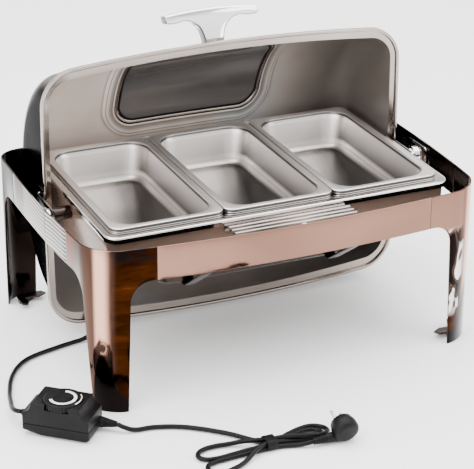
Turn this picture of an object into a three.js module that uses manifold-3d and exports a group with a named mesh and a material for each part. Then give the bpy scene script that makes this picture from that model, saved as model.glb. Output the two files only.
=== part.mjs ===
// Roll top chafer: an open stand, a carrier with a water pan and three food pans, an electric heater
// with its control box, and a domed lid that swings back on two side pivots.
// Millimetres, +Z up, +X to the right, +Y to the back. The origin is on the floor under the middle.
// The lid is modelled open. Its own coordinates are those of the closed lid, about the pivot axis.
import * as THREE from 'three';
import { mergeVertices } from 'three/addons/utils/BufferGeometryUtils.js';
import Module from 'manifold-3d';

const wasm = await Module();
wasm.setup();

// ---- driving dimensions ----
const GAP = 0.3;

const STAND = { halfX: 323, halfY: 232, bowX: 15, bowY: 25, radius: 40, top: 256, railHeight: 51, sheet: 2.6 };
const REAR_CORNER = { bowX: 3, radius: 28 };
const SEAM_X = 219;
const SEAM_Y = 118;
const LEG = { footEdgeX: 264, neckEdgeX: 258, footEdgeY: 186, neckEdgeY: 172, scallop: 32 };

const PAN = { halfX: 87.7, halfY: 162.5, rim: 265, depth: 64, sheet: 1.2, pitch: 176 };
const WATER = { halfX: 276, halfY: 179, rim: 258.6, lip: 9, wellX: 259, wellY: 157, floor: 172, sheet: 1.5 };
const CARRIER = { halfX: 271, halfY: 173, sheet: 1.6, bottom: 186, top: 256.6 };
const HEATER = { plateX: 170, plateY: 95, plateTop: 171.2, plate: 8, boxTop: 162.8, boxBottom: 126 };

const PIVOT_Z = 230;
const RIM_RISE = 36;
const LID = {
  halfX: 288, halfY: 206, bowX: 2, bowY: 17, radius: 34, height: 173, crown: 8, base: RIM_RISE + 8, sheet: 1.8,
};
const LID_RIM = { halfX: 299, halfY: 220, bowX: 2, bowY: 16, radius: 50, band: 6.5 };
const LID_POWER = 2.05;
const WINDOW = { halfX: 126, halfY: 84, radius: 34, y: -130, z: 186, tilt: 34.5, gasket: 8 };
const HANDLE = { y: -199.2, z: 91, tilt: 163, span: 78, reach: 56, post: 16, thick: 20 };

const CORD_R = 3.5;
const BOX = { x: -369, y: -227, turn: -41, length: 100, width: 54, height: 52 };
const DIAL = { x: 2.5, y: -0.5, radius: 28.5, low: 44.3, high: 54 };

// ---- small tools ----
function metal(name, color, roughness) {
  const material = new THREE.MeshStandardMaterial({ color, roughness, metalness: 1 });
  material.name = name;
  return material;
}

function plastic(name, color, roughness) {
  const material = new THREE.MeshStandardMaterial({ color, roughness, metalness: 0 });
  material.name = name;
  return material;
}

const MATERIALS = {
  stand: metal('rose_gold_steel', 0xb9998c, 0.1),
  satin: metal('satin_steel', 0xb9b5b1, 0.35),
  mirror: metal('polished_steel', 0xcfcfd2, 0.08),
  dark: metal('dark_steel', 0x3f3a38, 0.3),
  lid: metal('lid_steel', 0xa39a93, 0.25),
  chrome: metal('chrome', 0xe6e6ea, 0.05),
  alloy: metal('cast_alloy', 0x9c9c9c, 0.5),
  glass: plastic('smoked_glass', 0x23262a, 0.05),
  rubber: plastic('black_rubber', 0x151515, 0.7),
  box: plastic('black_plastic', 0x1b1b1d, 0.45),
  cord: plastic('black_sleeve', 0x111112, 0.5),
  brass: metal('brass', 0xb9a05c, 0.3),
};

// Turns the faces of a closed body outward if they point in.
function outward(geometry) {
  const position = geometry.attributes.position;
  const index = geometry.index.array;
  const [a, b, c] = [new THREE.Vector3(), new THREE.Vector3(), new THREE.Vector3()];
  let volume = 0;
  for (let i = 0; i < index.length; i += 3) {
    a.fromBufferAttribute(position, index[i]);
    b.fromBufferAttribute(position, index[i + 1]);
    c.fromBufferAttribute(position, index[i + 2]);
    volume += a.dot(b.cross(c));
  }
  if (volume < 0) {
    for (let i = 0; i < index.length; i += 3) {
      [index[i], index[i + 1]] = [index[i + 1], index[i]];
    }
  }
  return geometry;
}

function fromFaces(points, faces) {
  const geometry = new THREE.BufferGeometry();
  geometry.setAttribute('position', new THREE.Float32BufferAttribute(points.flat(), 3));
  geometry.setIndex(faces.flat());
  return outward(geometry);
}

function welded(geometry) {
  const bare = geometry.clone();
  for (const name of Object.keys(bare.attributes)) {
    if (name !== 'position') {
      bare.deleteAttribute(name);
    }
  }
  return mergeVertices(bare, 1e-4);
}

function toSolid(geometry) {
  const bare = outward(welded(geometry));
  const mesh = new wasm.Mesh({
    numProp: 3,
    vertProperties: new Float32Array(bare.attributes.position.array),
    triVerts: new Uint32Array(bare.index.array),
  });
  return new wasm.Manifold(mesh);
}

function toGeometry(solid) {
  const mesh = solid.getMesh();
  const geometry = new THREE.BufferGeometry();
  geometry.setAttribute('position', new THREE.BufferAttribute(new Float32Array(mesh.vertProperties), 3));
  geometry.setIndex(new THREE.BufferAttribute(new Uint32Array(mesh.triVerts), 1));
  return geometry;
}

const joined = (...parts) => toGeometry(parts.map(toSolid).reduce((sum, part) => sum.add(part)));

const cut = (body, ...tools) => toGeometry(tools.map(toSolid).reduce((rest, tool) => rest.subtract(tool),
  toSolid(body)));

const common = (body, tool) => toGeometry(toSolid(body).intersect(toSolid(tool)));

function mirrored(geometry, signX, signY) {
  return outward(welded(geometry).scale(signX, signY, 1));
}

const polygon = (points) => new THREE.Shape(points.map(([x, y]) => new THREE.Vector2(x, y)));

// A prism that stands on z = low and ends at z = high.
function upright(shape, low, high, curveSegments = 8) {
  const geometry = new THREE.ExtrudeGeometry(shape, { depth: high - low, bevelEnabled: false, curveSegments });
  return geometry.translate(0, 0, low);
}

// A prism along X whose outline is given as (y, z).
function alongX(shape, low, high, curveSegments = 8) {
  const geometry = new THREE.ExtrudeGeometry(shape, { depth: high - low, bevelEnabled: false, curveSegments });
  return geometry.translate(0, 0, low).rotateZ(Math.PI / 2).rotateY(Math.PI / 2);
}

// A prism along Y whose outline is given as (x, z), from y = low to y = high.
function alongY(shape, low, high, curveSegments = 8) {
  const geometry = new THREE.ExtrudeGeometry(shape, { depth: high - low, bevelEnabled: false, curveSegments });
  return geometry.rotateX(Math.PI / 2).translate(0, high, 0);
}

function rodX(radius, low, high, y, z, sides = 20) {
  return new THREE.CylinderGeometry(radius, radius, high - low, sides).rotateZ(Math.PI / 2)
    .translate((low + high) / 2, y, z);
}

function rodZ(radius, low, high, sides = 24) {
  return new THREE.CylinderGeometry(radius, radius, high - low, sides).rotateX(Math.PI / 2)
    .translate(0, 0, (low + high) / 2);
}

function slab(x0, x1, y0, y1, z0, z1) {
  return new THREE.BoxGeometry(x1 - x0, y1 - y0, z1 - z0)
    .translate((x0 + x1) / 2, (y0 + y1) / 2, (z0 + z1) / 2);
}

function roundedRect(halfX, halfY, radius) {
  const shape = new THREE.Shape();
  shape.moveTo(halfX, -halfY + radius);
  shape.lineTo(halfX, halfY - radius);
  shape.absarc(halfX - radius, halfY - radius, radius, 0, Math.PI / 2);
  shape.lineTo(-halfX + radius, halfY);
  shape.absarc(-halfX + radius, halfY - radius, radius, Math.PI / 2, Math.PI);
  shape.lineTo(-halfX, -halfY + radius);
  shape.absarc(-halfX + radius, -halfY + radius, radius, Math.PI, 1.5 * Math.PI);
  shape.lineTo(halfX - radius, -halfY);
  shape.absarc(halfX - radius, -halfY + radius, radius, 1.5 * Math.PI, 2 * Math.PI);
  return shape;
}

// The first quadrant of a rectangle with bowed sides and round corners, from (+X, 0) to (0, +Y).
function bowedQuadrant({ halfX, halfY, bowX, bowY, radius }, { end, corner, side }) {
  const endLine = (y) => [halfX - bowX * (y / halfY) ** 2, y];
  const sideLine = (x) => [x, halfY - bowY * (x / halfX) ** 2];
  const cornerX = halfX - bowX;
  const cornerY = halfY - bowY;
  const from = endLine(cornerY - radius);
  const to = sideLine(cornerX - radius);
  const kappa = 0.5523;
  const towards = ([x, y]) => new THREE.Vector2(x + kappa * (cornerX - x), y + kappa * (cornerY - y));
  const arc = new THREE.CubicBezierCurve(new THREE.Vector2(...from), towards(from), towards(to),
    new THREE.Vector2(...to));
  const points = [];
  for (let i = 0; i < end; i += 1) {
    points.push(endLine((from[1] * i) / end));
  }
  for (let i = 0; i < corner; i += 1) {
    points.push(arc.getPoint(i / corner).toArray());
  }
  for (let i = 0; i <= side; i += 1) {
    points.push(sideLine(to[0] * (1 - i / side)));
  }
  return points;
}

// The whole loop, counter-clockwise from (+X, 0), at the height z.
function bowedLoop(outline, steps, z) {
  const quadrant = bowedQuadrant(outline, steps);
  const last = quadrant.length - 1;
  const half = [...quadrant, ...quadrant.slice(0, last).reverse().map(([x, y]) => [-x, y])];
  const whole = [...half, ...half.slice(1, -1).reverse().map(([x, y]) => [x, -y])];
  return whole.map(([x, y]) => [x, y, z]);
}

function ringFaces(first, second, count) {
  const faces = [];
  for (let i = 0; i < count; i += 1) {
    const j = (i + 1) % count;
    faces.push([first + i, first + j, second + j], [first + i, second + j, second + i]);
  }
  return faces;
}

// A skin through closed loops of equal length, closed at both ends or joined end to end.
function loft(loops, endToEnd = false) {
  const count = loops[0].length;
  const points = loops.flat();
  const faces = [];
  for (let i = 0; i + 1 < loops.length; i += 1) {
    faces.push(...ringFaces(i * count, (i + 1) * count, count));
  }
  if (endToEnd) {
    faces.push(...ringFaces((loops.length - 1) * count, 0, count));
    return fromFaces(points, faces);
  }
  for (const [start, flip] of [[0, true], [(loops.length - 1) * count, false]]) {
    const centre = [0, 1, 2].map((axis) => points.slice(start, start + count)
      .reduce((sum, point) => sum + point[axis], 0) / count);
    const middle = points.push(centre) - 1;
    for (let i = 0; i < count; i += 1) {
      const j = (i + 1) % count;
      faces.push(flip ? [start + j, start + i, middle] : [start + i, start + j, middle]);
    }
  }
  return fromFaces(points, faces);
}

function place(parent, name, geometry, material) {
  const mesh = new THREE.Mesh(geometry, material);
  mesh.name = name;
  parent.add(mesh);
  return mesh;
}

const group = new THREE.Group();

// ---- stand: two long rails, two end rails and four bent sheet legs with round corners ----
const CORNER_STEPS = { end: 3, corner: 7, side: 5 };

const sideY = (x) => STAND.halfY - STAND.bowY * (x / STAND.halfX) ** 2;
const endBow = (y) => (y > 0 ? REAR_CORNER.bowX : STAND.bowX);
const endX = (y) => STAND.halfX - endBow(y) * (y / STAND.halfY) ** 2;

function longRail(sign) {
  const xs = Array.from({ length: 13 }, (_, i) => (SEAM_X - GAP / 2) * (i / 6 - 1));
  const outer = xs.map((x) => [x, sideY(x)]);
  const inner = xs.map((x) => [x, sideY(x) - STAND.sheet]).reverse();
  const wall = upright(polygon([...outer, ...inner]), STAND.top - STAND.railHeight, STAND.top);
  return mirrored(wall, 1, sign);
}

function endRail(sign) {
  const ys = Array.from({ length: 9 }, (_, i) => (SEAM_Y - GAP / 2) * (i / 4 - 1));
  const outer = ys.map((y) => [endX(y), y]);
  const inner = ys.map((y) => [endX(y) - STAND.sheet, y]).reverse();
  const wall = upright(polygon([...outer, ...inner]), STAND.top - STAND.railHeight, STAND.top);
  return mirrored(wall, sign, 1);
}

// The opening beside a leg's wing: u runs from the seam to the wing's edge, with a scallop at the top.
function wingOpening(seam, neck, foot) {
  const top = STAND.top - STAND.railHeight;
  const shape = new THREE.Shape();
  shape.moveTo(seam - 20, -1);
  shape.lineTo(foot, -1);
  shape.lineTo(neck, top - LEG.scallop);
  shape.absarc(neck - LEG.scallop, top - LEG.scallop, LEG.scallop, 0, Math.PI / 2);
  shape.lineTo(seam - 20, top);
  shape.closePath();
  return shape;
}

// The leg's plan at a depth under its outer face, for a front corner (signY = -1) or a rear one.
function cornerPlan(signY, depth) {
  const plan = { ...STAND, ...(signY > 0 ? REAR_CORNER : {}) };
  const inset = { ...plan, halfX: plan.halfX - depth, halfY: plan.halfY - depth, radius: plan.radius - depth };
  const corner = bowedQuadrant(inset, CORNER_STEPS).filter(([x, y]) => x > SEAM_X + 4 && y > SEAM_Y + 4);
  const seamX = SEAM_X + GAP / 2;
  const seamY = SEAM_Y + GAP / 2;
  return [[endX(signY * seamY) - depth, seamY], ...corner, [seamX, sideY(seamX) - depth]];
}

function legGeometry(signX, signY) {
  const outline = [...cornerPlan(signY, 0), ...cornerPlan(signY, STAND.sheet).reverse()];
  const wall = upright(polygon(outline), 0, STAND.top);
  const sideOpening = alongY(wingOpening(SEAM_X, LEG.neckEdgeX, LEG.footEdgeX), 190, 240, 6);
  const endOpening = alongX(wingOpening(SEAM_Y, LEG.neckEdgeY, LEG.footEdgeY), 295, 330, 6);
  return mirrored(cut(wall, sideOpening, endOpening), signX, signY);
}

// A folded clip across the inside of the leg's foot, with two prongs that point into the stand.
function footClip(signX, signY) {
  const pad = upright(polygon([[276, 198], [296, 198], [303, 190], [303, 178], [292, 178], [276, 190]]), 0, 7);
  const prongs = upright(polygon([[262, 196], [300, 196], [304, 190], [304, 160], [296, 156], [290, 168], [294, 180],
    [282, 180], [270, 178], [256, 186]]), 6.5, 9.5);
  const hollow = upright(polygon([[SEAM_X, SEAM_Y], ...cornerPlan(signY, STAND.sheet + GAP)]), -1, 20);
  return mirrored(common(joined(pad, prongs), hollow), signX, signY);
}

const SIDES = [['left', -1], ['right', 1]];
const ENDS = [['front', -1], ['rear', 1]];
for (const [end, signY] of ENDS) {
  place(group, `${end}_rail`, longRail(signY), MATERIALS.stand);
  for (const [side, signX] of SIDES) {
    place(group, `leg_${end}_${side}`, legGeometry(signX, signY), MATERIALS.stand);
    place(group, `foot_clip_${end}_${side}`, footClip(signX, signY), MATERIALS.dark);
  }
}
for (const [side, signX] of SIDES) {
  place(group, `end_rail_${side}`, endRail(signX), MATERIALS.stand);
}

// ---- food pans: three equal pans side by side, each hung by its rim ----
const PAN_STEPS = { end: 1, corner: 3, side: 1 };

function panLoop(inset, radius, z) {
  const outline = { halfX: PAN.halfX - inset, halfY: PAN.halfY - inset, bowX: 0, bowY: 0, radius };
  return bowedLoop(outline, PAN_STEPS, z);
}

function foodPan() {
  const { rim, sheet, depth } = PAN;
  const bottom = rim - depth;
  return loft([
    panLoop(25, 26, bottom), panLoop(18.6, 30, bottom + 5), panLoop(11.4, 34, rim - sheet),
    panLoop(1.2, 15, rim - sheet), panLoop(1.2, 15, rim - 5.8), panLoop(0, 16, rim - 5.8), panLoop(0, 16, rim - 0.9),
    panLoop(0.9, 15, rim), panLoop(10.2, 33, rim), panLoop(12.4, 31, rim - 2.6), panLoop(19.8, 29, bottom + 6),
    panLoop(26, 25, bottom + sheet),
  ]);
}

const PAN_NAMES = ['food_pan_left', 'food_pan_middle', 'food_pan_right'];
PAN_NAMES.forEach((name, i) => {
  const mesh = place(group, name, foodPan(), MATERIALS.satin);
  mesh.position.x = PAN.pitch * (i - 1);
});

// ---- water pan: one large pan under the food pans, its polished rim turned down at the edge ----
const WATER_STEPS = { end: 2, corner: 5, side: 2 };

function waterLoop(halfX, halfY, radius, z) {
  return bowedLoop({ halfX, halfY, bowX: 0, bowY: 0, radius }, WATER_STEPS, z);
}

function waterPan() {
  const { halfX, halfY, wellX, wellY, rim, lip, sheet, floor } = WATER;
  return loft([
    waterLoop(wellX - 10, wellY - 10, 20, floor), waterLoop(wellX - 3, wellY - 3, 24, floor + 3),
    waterLoop(wellX, wellY, 26, rim - 5), waterLoop(wellX + 2, wellY + 2, 26, rim - sheet),
    waterLoop(halfX - sheet, halfY - sheet, 20, rim - sheet), waterLoop(halfX - sheet, halfY - sheet, 20, rim - lip),
    waterLoop(halfX, halfY, 22, rim - lip), waterLoop(halfX, halfY, 22, rim - 1.4),
    waterLoop(halfX - 1.4, halfY - 1.4, 21, rim), waterLoop(wellX, wellY, 25, rim),
    waterLoop(wellX - sheet, wellY - sheet, 25, rim - 4), waterLoop(wellX - 4.5, wellY - 4.5, 23, floor + 4),
    waterLoop(wellX - 11, wellY - 11, 19, floor + sheet),
  ]);
}
place(group, 'water_pan', waterPan(), MATERIALS.mirror);

// ---- carrier: a sheet frame that holds the water pan by its rim and the heater under it ----
function carrierFrame() {
  const wall = (inset, z) => bowedLoop({ halfX: CARRIER.halfX - inset, halfY: CARRIER.halfY - inset, bowX: 0, bowY: 0,
    radius: 18 - inset * 0.4 }, WATER_STEPS, z);
  const { top, bottom, sheet } = CARRIER;
  return loft([wall(0, bottom), wall(0, top), wall(sheet, top), wall(sheet, bottom + sheet),
    wall(11, bottom + sheet), wall(11, bottom)], true);
}
const boltHoles = rodX(4.4, -290, 290, 0, PIVOT_Z, 16);
place(group, 'carrier_frame', cut(carrierFrame(), boltHoles), MATERIALS.mirror);

// Stepped support plate between the carrier and the front rail, with three ridges along its length.
function frontPlate() {
  const railInside = STAND.halfY - STAND.sheet - 3;
  const front = -railInside;
  const ridge = (y) => [[y + 3, 251], [y + 1.5, 253.6], [y - 1.5, 253.6], [y - 3, 251]];
  const back = -CARRIER.halfY - GAP;
  const profile = [[back, 238], [back, 246], [-181, 246], [-183, 251], ...ridge(-192), ...ridge(-203), ...ridge(-214),
    [front, 251], [front, 214], [front + 2, 214], [front + 2, 248.6], [-184.8, 248.6], [-182.6, 243.6],
    [back - 2.4, 243.6], [back - 2.4, 238]];
  return alongX(polygon(profile), -97, 97);
}
place(group, 'front_support_plate', frontPlate(), MATERIALS.mirror);
const plateScrew = place(group, 'support_plate_screw', rodZ(4, 0, 3.2, 16), MATERIALS.chrome);
plateScrew.position.set(8, -222.5, 251.3);

// ---- heater: cast plate under the water pan, in a sheet housing hung from two straps ----
place(group, 'heating_plate', upright(roundedRect(HEATER.plateX, HEATER.plateY, 30),
  HEATER.plateTop - HEATER.plate, HEATER.plateTop - GAP, 4), MATERIALS.alloy);

function heaterHousing() {
  const loop = (inset, z) => bowedLoop({ halfX: HEATER.plateX - inset, halfY: HEATER.plateY - inset, bowX: 0, bowY: 0,
    radius: 30 - inset }, { end: 1, corner: 3, side: 1 }, z);
  const { boxTop, boxBottom } = HEATER;
  return loft([loop(5, boxBottom), loop(0, boxBottom + 5), loop(0, boxTop), loop(1.6, boxTop), loop(1.6, boxBottom + 6),
    loop(6, boxBottom + 1.6)]);
}
const cordHole = rodX(5, -180, -150, 10, 142, 12);
place(group, 'heater_housing', cut(heaterHousing(), cordHole), MATERIALS.dark);

function heaterStrap(x) {
  const halfY = CARRIER.halfY - CARRIER.sheet - GAP;
  const top = CARRIER.bottom - GAP;
  const above = [[-halfY, top], [-161.5, top], [-161.5, 171], [-97.5, HEATER.boxBottom - GAP]];
  const below = [[-halfY, top - 2], [-163.5, top - 2], [-163.5, 170], [-98.5, HEATER.boxBottom - GAP - 2]];
  const reflect = (line) => line.map(([y, z]) => [-y, z]).reverse();
  const profile = [...above, ...reflect(above), ...below.map(([y, z]) => [-y, z]), ...below.slice().reverse()];
  return alongX(polygon(profile), x - 9, x + 9);
}

// ---- side pivots: bracket on the end rail, bolt, nut and spacer tube to the carrier ----
function pivotBracket() {
  const face = endX(0) - STAND.sheet - 1.2;
  const plate = alongX(roundedRectAt(0, PIVOT_Z, 30, 20, 6), face - 2.5, face);
  const boss = rodX(13, 308.3, face - 1, 0, PIVOT_Z, 24);
  const stop = rodX(3, 299.4, face - 1, 22, PIVOT_Z - 15.5, 12);
  const stopFoot = alongX(roundedRectAt(22, PIVOT_Z - 15.5, 5, 5, 2), face - 8, face);
  return cut(joined(plate, boss, stop, stopFoot), rodX(4.4, 300, 330, 0, PIVOT_Z, 16));
}

function roundedRectAt(u, v, halfU, halfV, radius) {
  const points = roundedRect(halfU, halfV, radius).getPoints(3);
  const loop = points.slice(0, -1).map((point) => [point.x + u, point.y + v]);
  return polygon(loop);
}

function pivotBolt() {
  const shaft = rodX(4, 264.6, 315, 0, PIVOT_Z, 16);
  const collar = rodX(10.5, 303.4, 307.9, 0, PIVOT_Z, 6);
  const head = rodX(7, 264, 268.6, 0, PIVOT_Z, 6);
  return joined(shaft, collar, head);
}

function spacerTube() {
  return cut(rodX(10.5, CARRIER.halfX + GAP, 299.1, 0, PIVOT_Z, 20), rodX(4.4, 260, 310, 0, PIVOT_Z, 16));
}

for (const [side, signX] of SIDES) {
  place(group, `pivot_bracket_${side}`, mirrored(pivotBracket(), signX, 1), MATERIALS.chrome);
  place(group, `pivot_bolt_${side}`, mirrored(pivotBolt(), signX, 1), MATERIALS.chrome);
  place(group, `spacer_tube_${side}`, mirrored(spacerTube(), signX, 1), MATERIALS.dark);
  place(group, `heater_strap_${side}`, heaterStrap(signX * 120), MATERIALS.dark);
}

// ---- lid: a dome of even cross section with a rolled rim, a window and a T handle ----
const lid = new THREE.Group();
lid.position.z = PIVOT_Z;
lid.rotation.x = -Math.PI / 2;
group.add(lid);

const LID_STEPS = { end: 4, corner: 5, side: 6 };
const ARCH_STEPS = 18;

// Adds the arches of the dome to points and gives the row of point numbers along each arch.
function domeArches(points, base, { halfX, halfY, bowY, radius, height, crown }, z, baseFirst) {
  const half = base.length / 2;
  const sideAt = (x) => halfY - bowY * (x / halfX) ** 2;
  const heightAt = (x) => height - crown * (x / halfX) ** 2;
  const rowOf = (column) => {
    const [x, y] = base[column];
    const cornerY = halfY - bowY - radius;
    const inCorner = y >= cornerY - 1e-6;
    const cornerX = base[LID_STEPS.end][0];
    const top = inCorner ? heightAt(x) - (sideAt(x) - y) : (heightAt(cornerX) - (sideAt(cornerX) - cornerY)) * (y / cornerY);
    const row = [baseFirst + base.length - column];
    for (let i = 1; i < ARCH_STEPS; i += 1) {
      const angle = (Math.PI * i) / ARCH_STEPS;
      const along = Math.sign(Math.cos(angle)) * Math.abs(Math.cos(angle)) ** (2 / LID_POWER);
      const up = Math.sin(angle) ** (2 / LID_POWER);
      row.push(points.push([x, -y * along, z + top * up]) - 1);
    }
    row.push(baseFirst + column);
    return row;
  };
  const rows = [];
  for (let column = 1; column < half; column += 1) {
    rows.push(rowOf(column));
  }
  return rows;
}

// The faces of a dome skin, from the pole on the right to the pole on the left.
function domeFaces(rows, rightPole, leftPole) {
  const faces = [];
  const last = rows.length - 1;
  for (let i = 0; i < ARCH_STEPS; i += 1) {
    faces.push([rightPole, rows[0][i + 1], rows[0][i]]);
    faces.push([leftPole, rows[last][i], rows[last][i + 1]]);
  }
  for (let column = 0; column < last; column += 1) {
    const [row, next] = [rows[column], rows[column + 1]];
    for (let i = 0; i < ARCH_STEPS; i += 1) {
      faces.push([row[i], row[i + 1], next[i + 1]], [row[i], next[i + 1], next[i]]);
    }
  }
  return faces;
}

const lidInset = (inset) => ({ ...LID, halfX: LID.halfX - inset, halfY: LID.halfY - inset,
  radius: LID.radius - inset, height: LID.height - inset });

// A closed shell between two insets of the dome, with optional loops between the two bases.
function domeShell(outerInset, innerInset, outerZ, innerZ, between = []) {
  const outerSpec = lidInset(outerInset);
  const innerSpec = lidInset(innerInset);
  const loops = [bowedLoop(outerSpec, LID_STEPS, outerZ), ...between, bowedLoop(innerSpec, LID_STEPS, innerZ)];
  const count = loops[0].length;
  const points = loops.flat();
  const innerFirst = (loops.length - 1) * count;
  const outerRows = domeArches(points, loops[0], outerSpec, outerZ, 0);
  const innerRows = domeArches(points, loops[loops.length - 1], innerSpec, innerZ, innerFirst);
  const faces = domeFaces(outerRows, 0, count / 2);
  const turned = ([a, b, c]) => [a, c, b];
  faces.push(...domeFaces(innerRows, innerFirst, innerFirst + count / 2).map(turned));
  for (let i = 0; i + 1 < loops.length; i += 1) {
    faces.push(...ringFaces(i * count, (i + 1) * count, count).map(turned));
  }
  return fromFaces(points, faces);
}

function rimLoop(inset, z) {
  const outline = { ...LID_RIM, halfX: LID_RIM.halfX - inset, halfY: LID_RIM.halfY - inset,
    radius: LID_RIM.radius - inset };
  return bowedLoop(outline, LID_STEPS, RIM_RISE + z);
}

function lidShell() {
  const { band } = LID_RIM;
  return domeShell(0, LID.sheet, LID.base, LID.base - 2.4, [
    rimLoop(1.2, band + 0.6), rimLoop(0, band - 0.6), rimLoop(0, 0.8), rimLoop(1, 0), rimLoop(4.2, 0),
    rimLoop(5, 0.8), rimLoop(5.4, band - 2),
  ]);
}

// A prism square to the dome at the window, outline in (x, along the slope).
function windowPrism(inset) {
  const outline = roundedRect(WINDOW.halfX - inset, WINDOW.halfY - inset, WINDOW.radius - inset * 0.6);
  return upright(outline, -60, 70, 5).rotateX(THREE.MathUtils.degToRad(WINDOW.tilt)).translate(0, WINDOW.y, WINDOW.z);
}

const windowCut = windowPrism(0);
const { gasket } = WINDOW;
place(lid, 'lid_shell', cut(lidShell(), windowCut), MATERIALS.lid);
const gasketLayer = common(domeShell(-1.6, 4.4, LID.base, LID.base), windowPrism(GAP));
place(lid, 'window_gasket', cut(gasketLayer, windowPrism(gasket)), MATERIALS.rubber);
place(lid, 'window_glass', common(domeShell(-0.6, 3.4, LID.base, LID.base), windowPrism(gasket + GAP)), MATERIALS.glass);

// Handle: one post that spreads into two wings, with hollow arcs under them.
function handleShape() {
  const { span, reach, post } = HANDLE;
  const shape = new THREE.Shape();
  shape.moveTo(-post, 0);
  shape.bezierCurveTo(-post - 1, reach * 0.5, -post - 12, reach * 0.66, -post - 30, reach - 16);
  shape.quadraticCurveTo(-span + 12, reach - 21, -span + 2, reach - 17);
  shape.lineTo(-span, reach - 5);
  shape.quadraticCurveTo(0, reach + 5, span, reach - 5);
  shape.lineTo(span - 2, reach - 17);
  shape.quadraticCurveTo(span - 12, reach - 21, post + 30, reach - 16);
  shape.bezierCurveTo(post + 12, reach * 0.66, post + 1, reach * 0.5, post, 0);
  shape.closePath();
  return shape;
}

const handle = new THREE.Group();
handle.position.set(0, HANDLE.y, HANDLE.z);
handle.rotation.x = THREE.MathUtils.degToRad(HANDLE.tilt);
lid.add(handle);
const handleBody = new THREE.ExtrudeGeometry(handleShape(), {
  depth: HANDLE.thick - 6, bevelThickness: 3, bevelSize: 3, bevelOffset: -3, bevelSegments: 2, curveSegments: 6,
}).translate(0, 0, -(HANDLE.thick - 6) / 2);
place(handle, 'handle', common(handleBody, slab(-100, 100, 0.5, 90, -20, 20)), MATERIALS.chrome);

// Heads of the two screws that hold the handle, on the inside of the lid.
for (const [side, signX] of SIDES) {
  const head = place(handle, `handle_screw_${side}`, new THREE.CylinderGeometry(4.5, 4.5, 3, 12), MATERIALS.chrome);
  head.position.set(signX * 9, -5.7, 0);
}

// Hinge ear: a strip bent clear of the rim, riveted to the lid's end wall, with the pivot hole in it.
function hingeEar() {
  const width = 11;
  const wall = LID.halfX + 0.3;
  const plan = [[302.3, -width], [302.3, 62], [wall + 2.4, 62], [wall + 2.4, 92], [wall, 92], [wall, 59.6],
    [299.7, 59.6], [299.7, -width]];
  const strip = alongY(polygon(plan), -width, width);
  return cut(strip, rodX(4.4, 290, 310, 0, 0, 16));
}

for (const [side, signX] of SIDES) {
  place(lid, `hinge_ear_${side}`, mirrored(hingeEar(), signX, 1), MATERIALS.dark);
  for (const [row, z] of [['lower', 70], ['upper', 84]]) {
    const rivet = place(lid, `ear_rivet_${row}_${side}`, rodX(3, 0, 1.8, 0, 0, 10), MATERIALS.chrome);
    rivet.position.set(signX > 0 ? LID.halfX + 3 : -LID.halfX - 4.8, 0, z);
  }
}

// ---- control box on the floor: base, cover with sloped shoulders, thermostat dial, cord glands ----
const box = new THREE.Group();
box.position.set(BOX.x, BOX.y, 0);
box.rotation.z = THREE.MathUtils.degToRad(BOX.turn);
group.add(box);

const halfLength = BOX.length / 2;
const halfWidth = BOX.width / 2;
const PART_LINE = 18;
const BOX_FEET = 3;

function boxBase() {
  const profile = [[-halfLength, 9], [-halfLength + 28, BOX_FEET], [halfLength - 4, BOX_FEET], [halfLength, 6],
    [halfLength, PART_LINE], [-halfLength, PART_LINE]];
  const tray = alongY(polygon(profile), -halfWidth, halfWidth);
  const feet = [[-14, -1], [-14, 1], [38, -1], [38, 1]].map(([x, side]) => rodZ(4, 0, BOX_FEET + 1, 12)
    .translate(x, side * (halfWidth - 8), 0));
  return joined(tray, ...feet);
}

function boxCover() {
  const shoulder = 36;
  const shape = new THREE.Shape();
  shape.moveTo(-halfLength, PART_LINE + GAP);
  shape.lineTo(halfLength, PART_LINE + GAP);
  shape.lineTo(halfLength, shoulder);
  shape.quadraticCurveTo(halfLength - 9, shoulder + 2, halfLength - 14, BOX.height);
  shape.lineTo(-halfLength + 14, BOX.height);
  shape.quadraticCurveTo(-halfLength + 9, shoulder + 2, -halfLength, shoulder);
  shape.closePath();
  const body = alongY(shape, -halfWidth, halfWidth, 5);
  const well = rodZ(DIAL.radius + 0.6, DIAL.low - GAP, BOX.height + 2, 40).translate(DIAL.x, DIAL.y, 0);
  const notch = slab(DIAL.x - 18, DIAL.x + 18, -halfWidth - 2, -18, DIAL.low - GAP, BOX.height + 2);
  return cut(body, well, notch);
}

// A thumbwheel: its knurled edge shows in the notch of the cover's front wall.
function dial() {
  const { radius, low, high } = DIAL;
  const profile = [[0, low], [radius, low], [radius, high - 1.2], [radius - 1.2, high], [12, high], [11, high - 0.8],
    [0, high - 0.8]];
  const wheel = new THREE.LatheGeometry(profile.map(([r, h]) => new THREE.Vector2(r, h)), 40).rotateX(Math.PI / 2);
  return wheel.translate(DIAL.x, DIAL.y, 0);
}

// A tapered cord gland from the wall at x = 0 outward along +X.
const LONG_GLAND = 24;
const SHORT_GLAND = 10;

function gland(length) {
  const profile = [[0, 0], [8, 0], [8, length * 0.2], [5.6, length * 0.6], [4.8, length], [0, length]];
  return new THREE.LatheGeometry(profile.map(([r, h]) => new THREE.Vector2(r, h)), 12).rotateZ(-Math.PI / 2);
}

place(box, 'control_box_base', boxBase(), MATERIALS.box);
place(box, 'control_box_cover', boxCover(), MATERIALS.box);
place(box, 'thermostat_dial', dial(), MATERIALS.box);
const mainsGland = place(box, 'mains_gland', gland(LONG_GLAND), MATERIALS.rubber);
mainsGland.position.set(halfLength + GAP, 20, 12);
const leadGland = place(box, 'heater_lead_gland', gland(SHORT_GLAND), MATERIALS.rubber);
leadGland.rotation.z = Math.PI;
leadGland.position.set(-halfLength - GAP, -2, 21);

const housingGland = place(group, 'housing_gland', gland(LONG_GLAND), MATERIALS.rubber);
housingGland.rotation.z = Math.PI;
housingGland.position.set(-HEATER.plateX - GAP, 10, 142);

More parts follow.
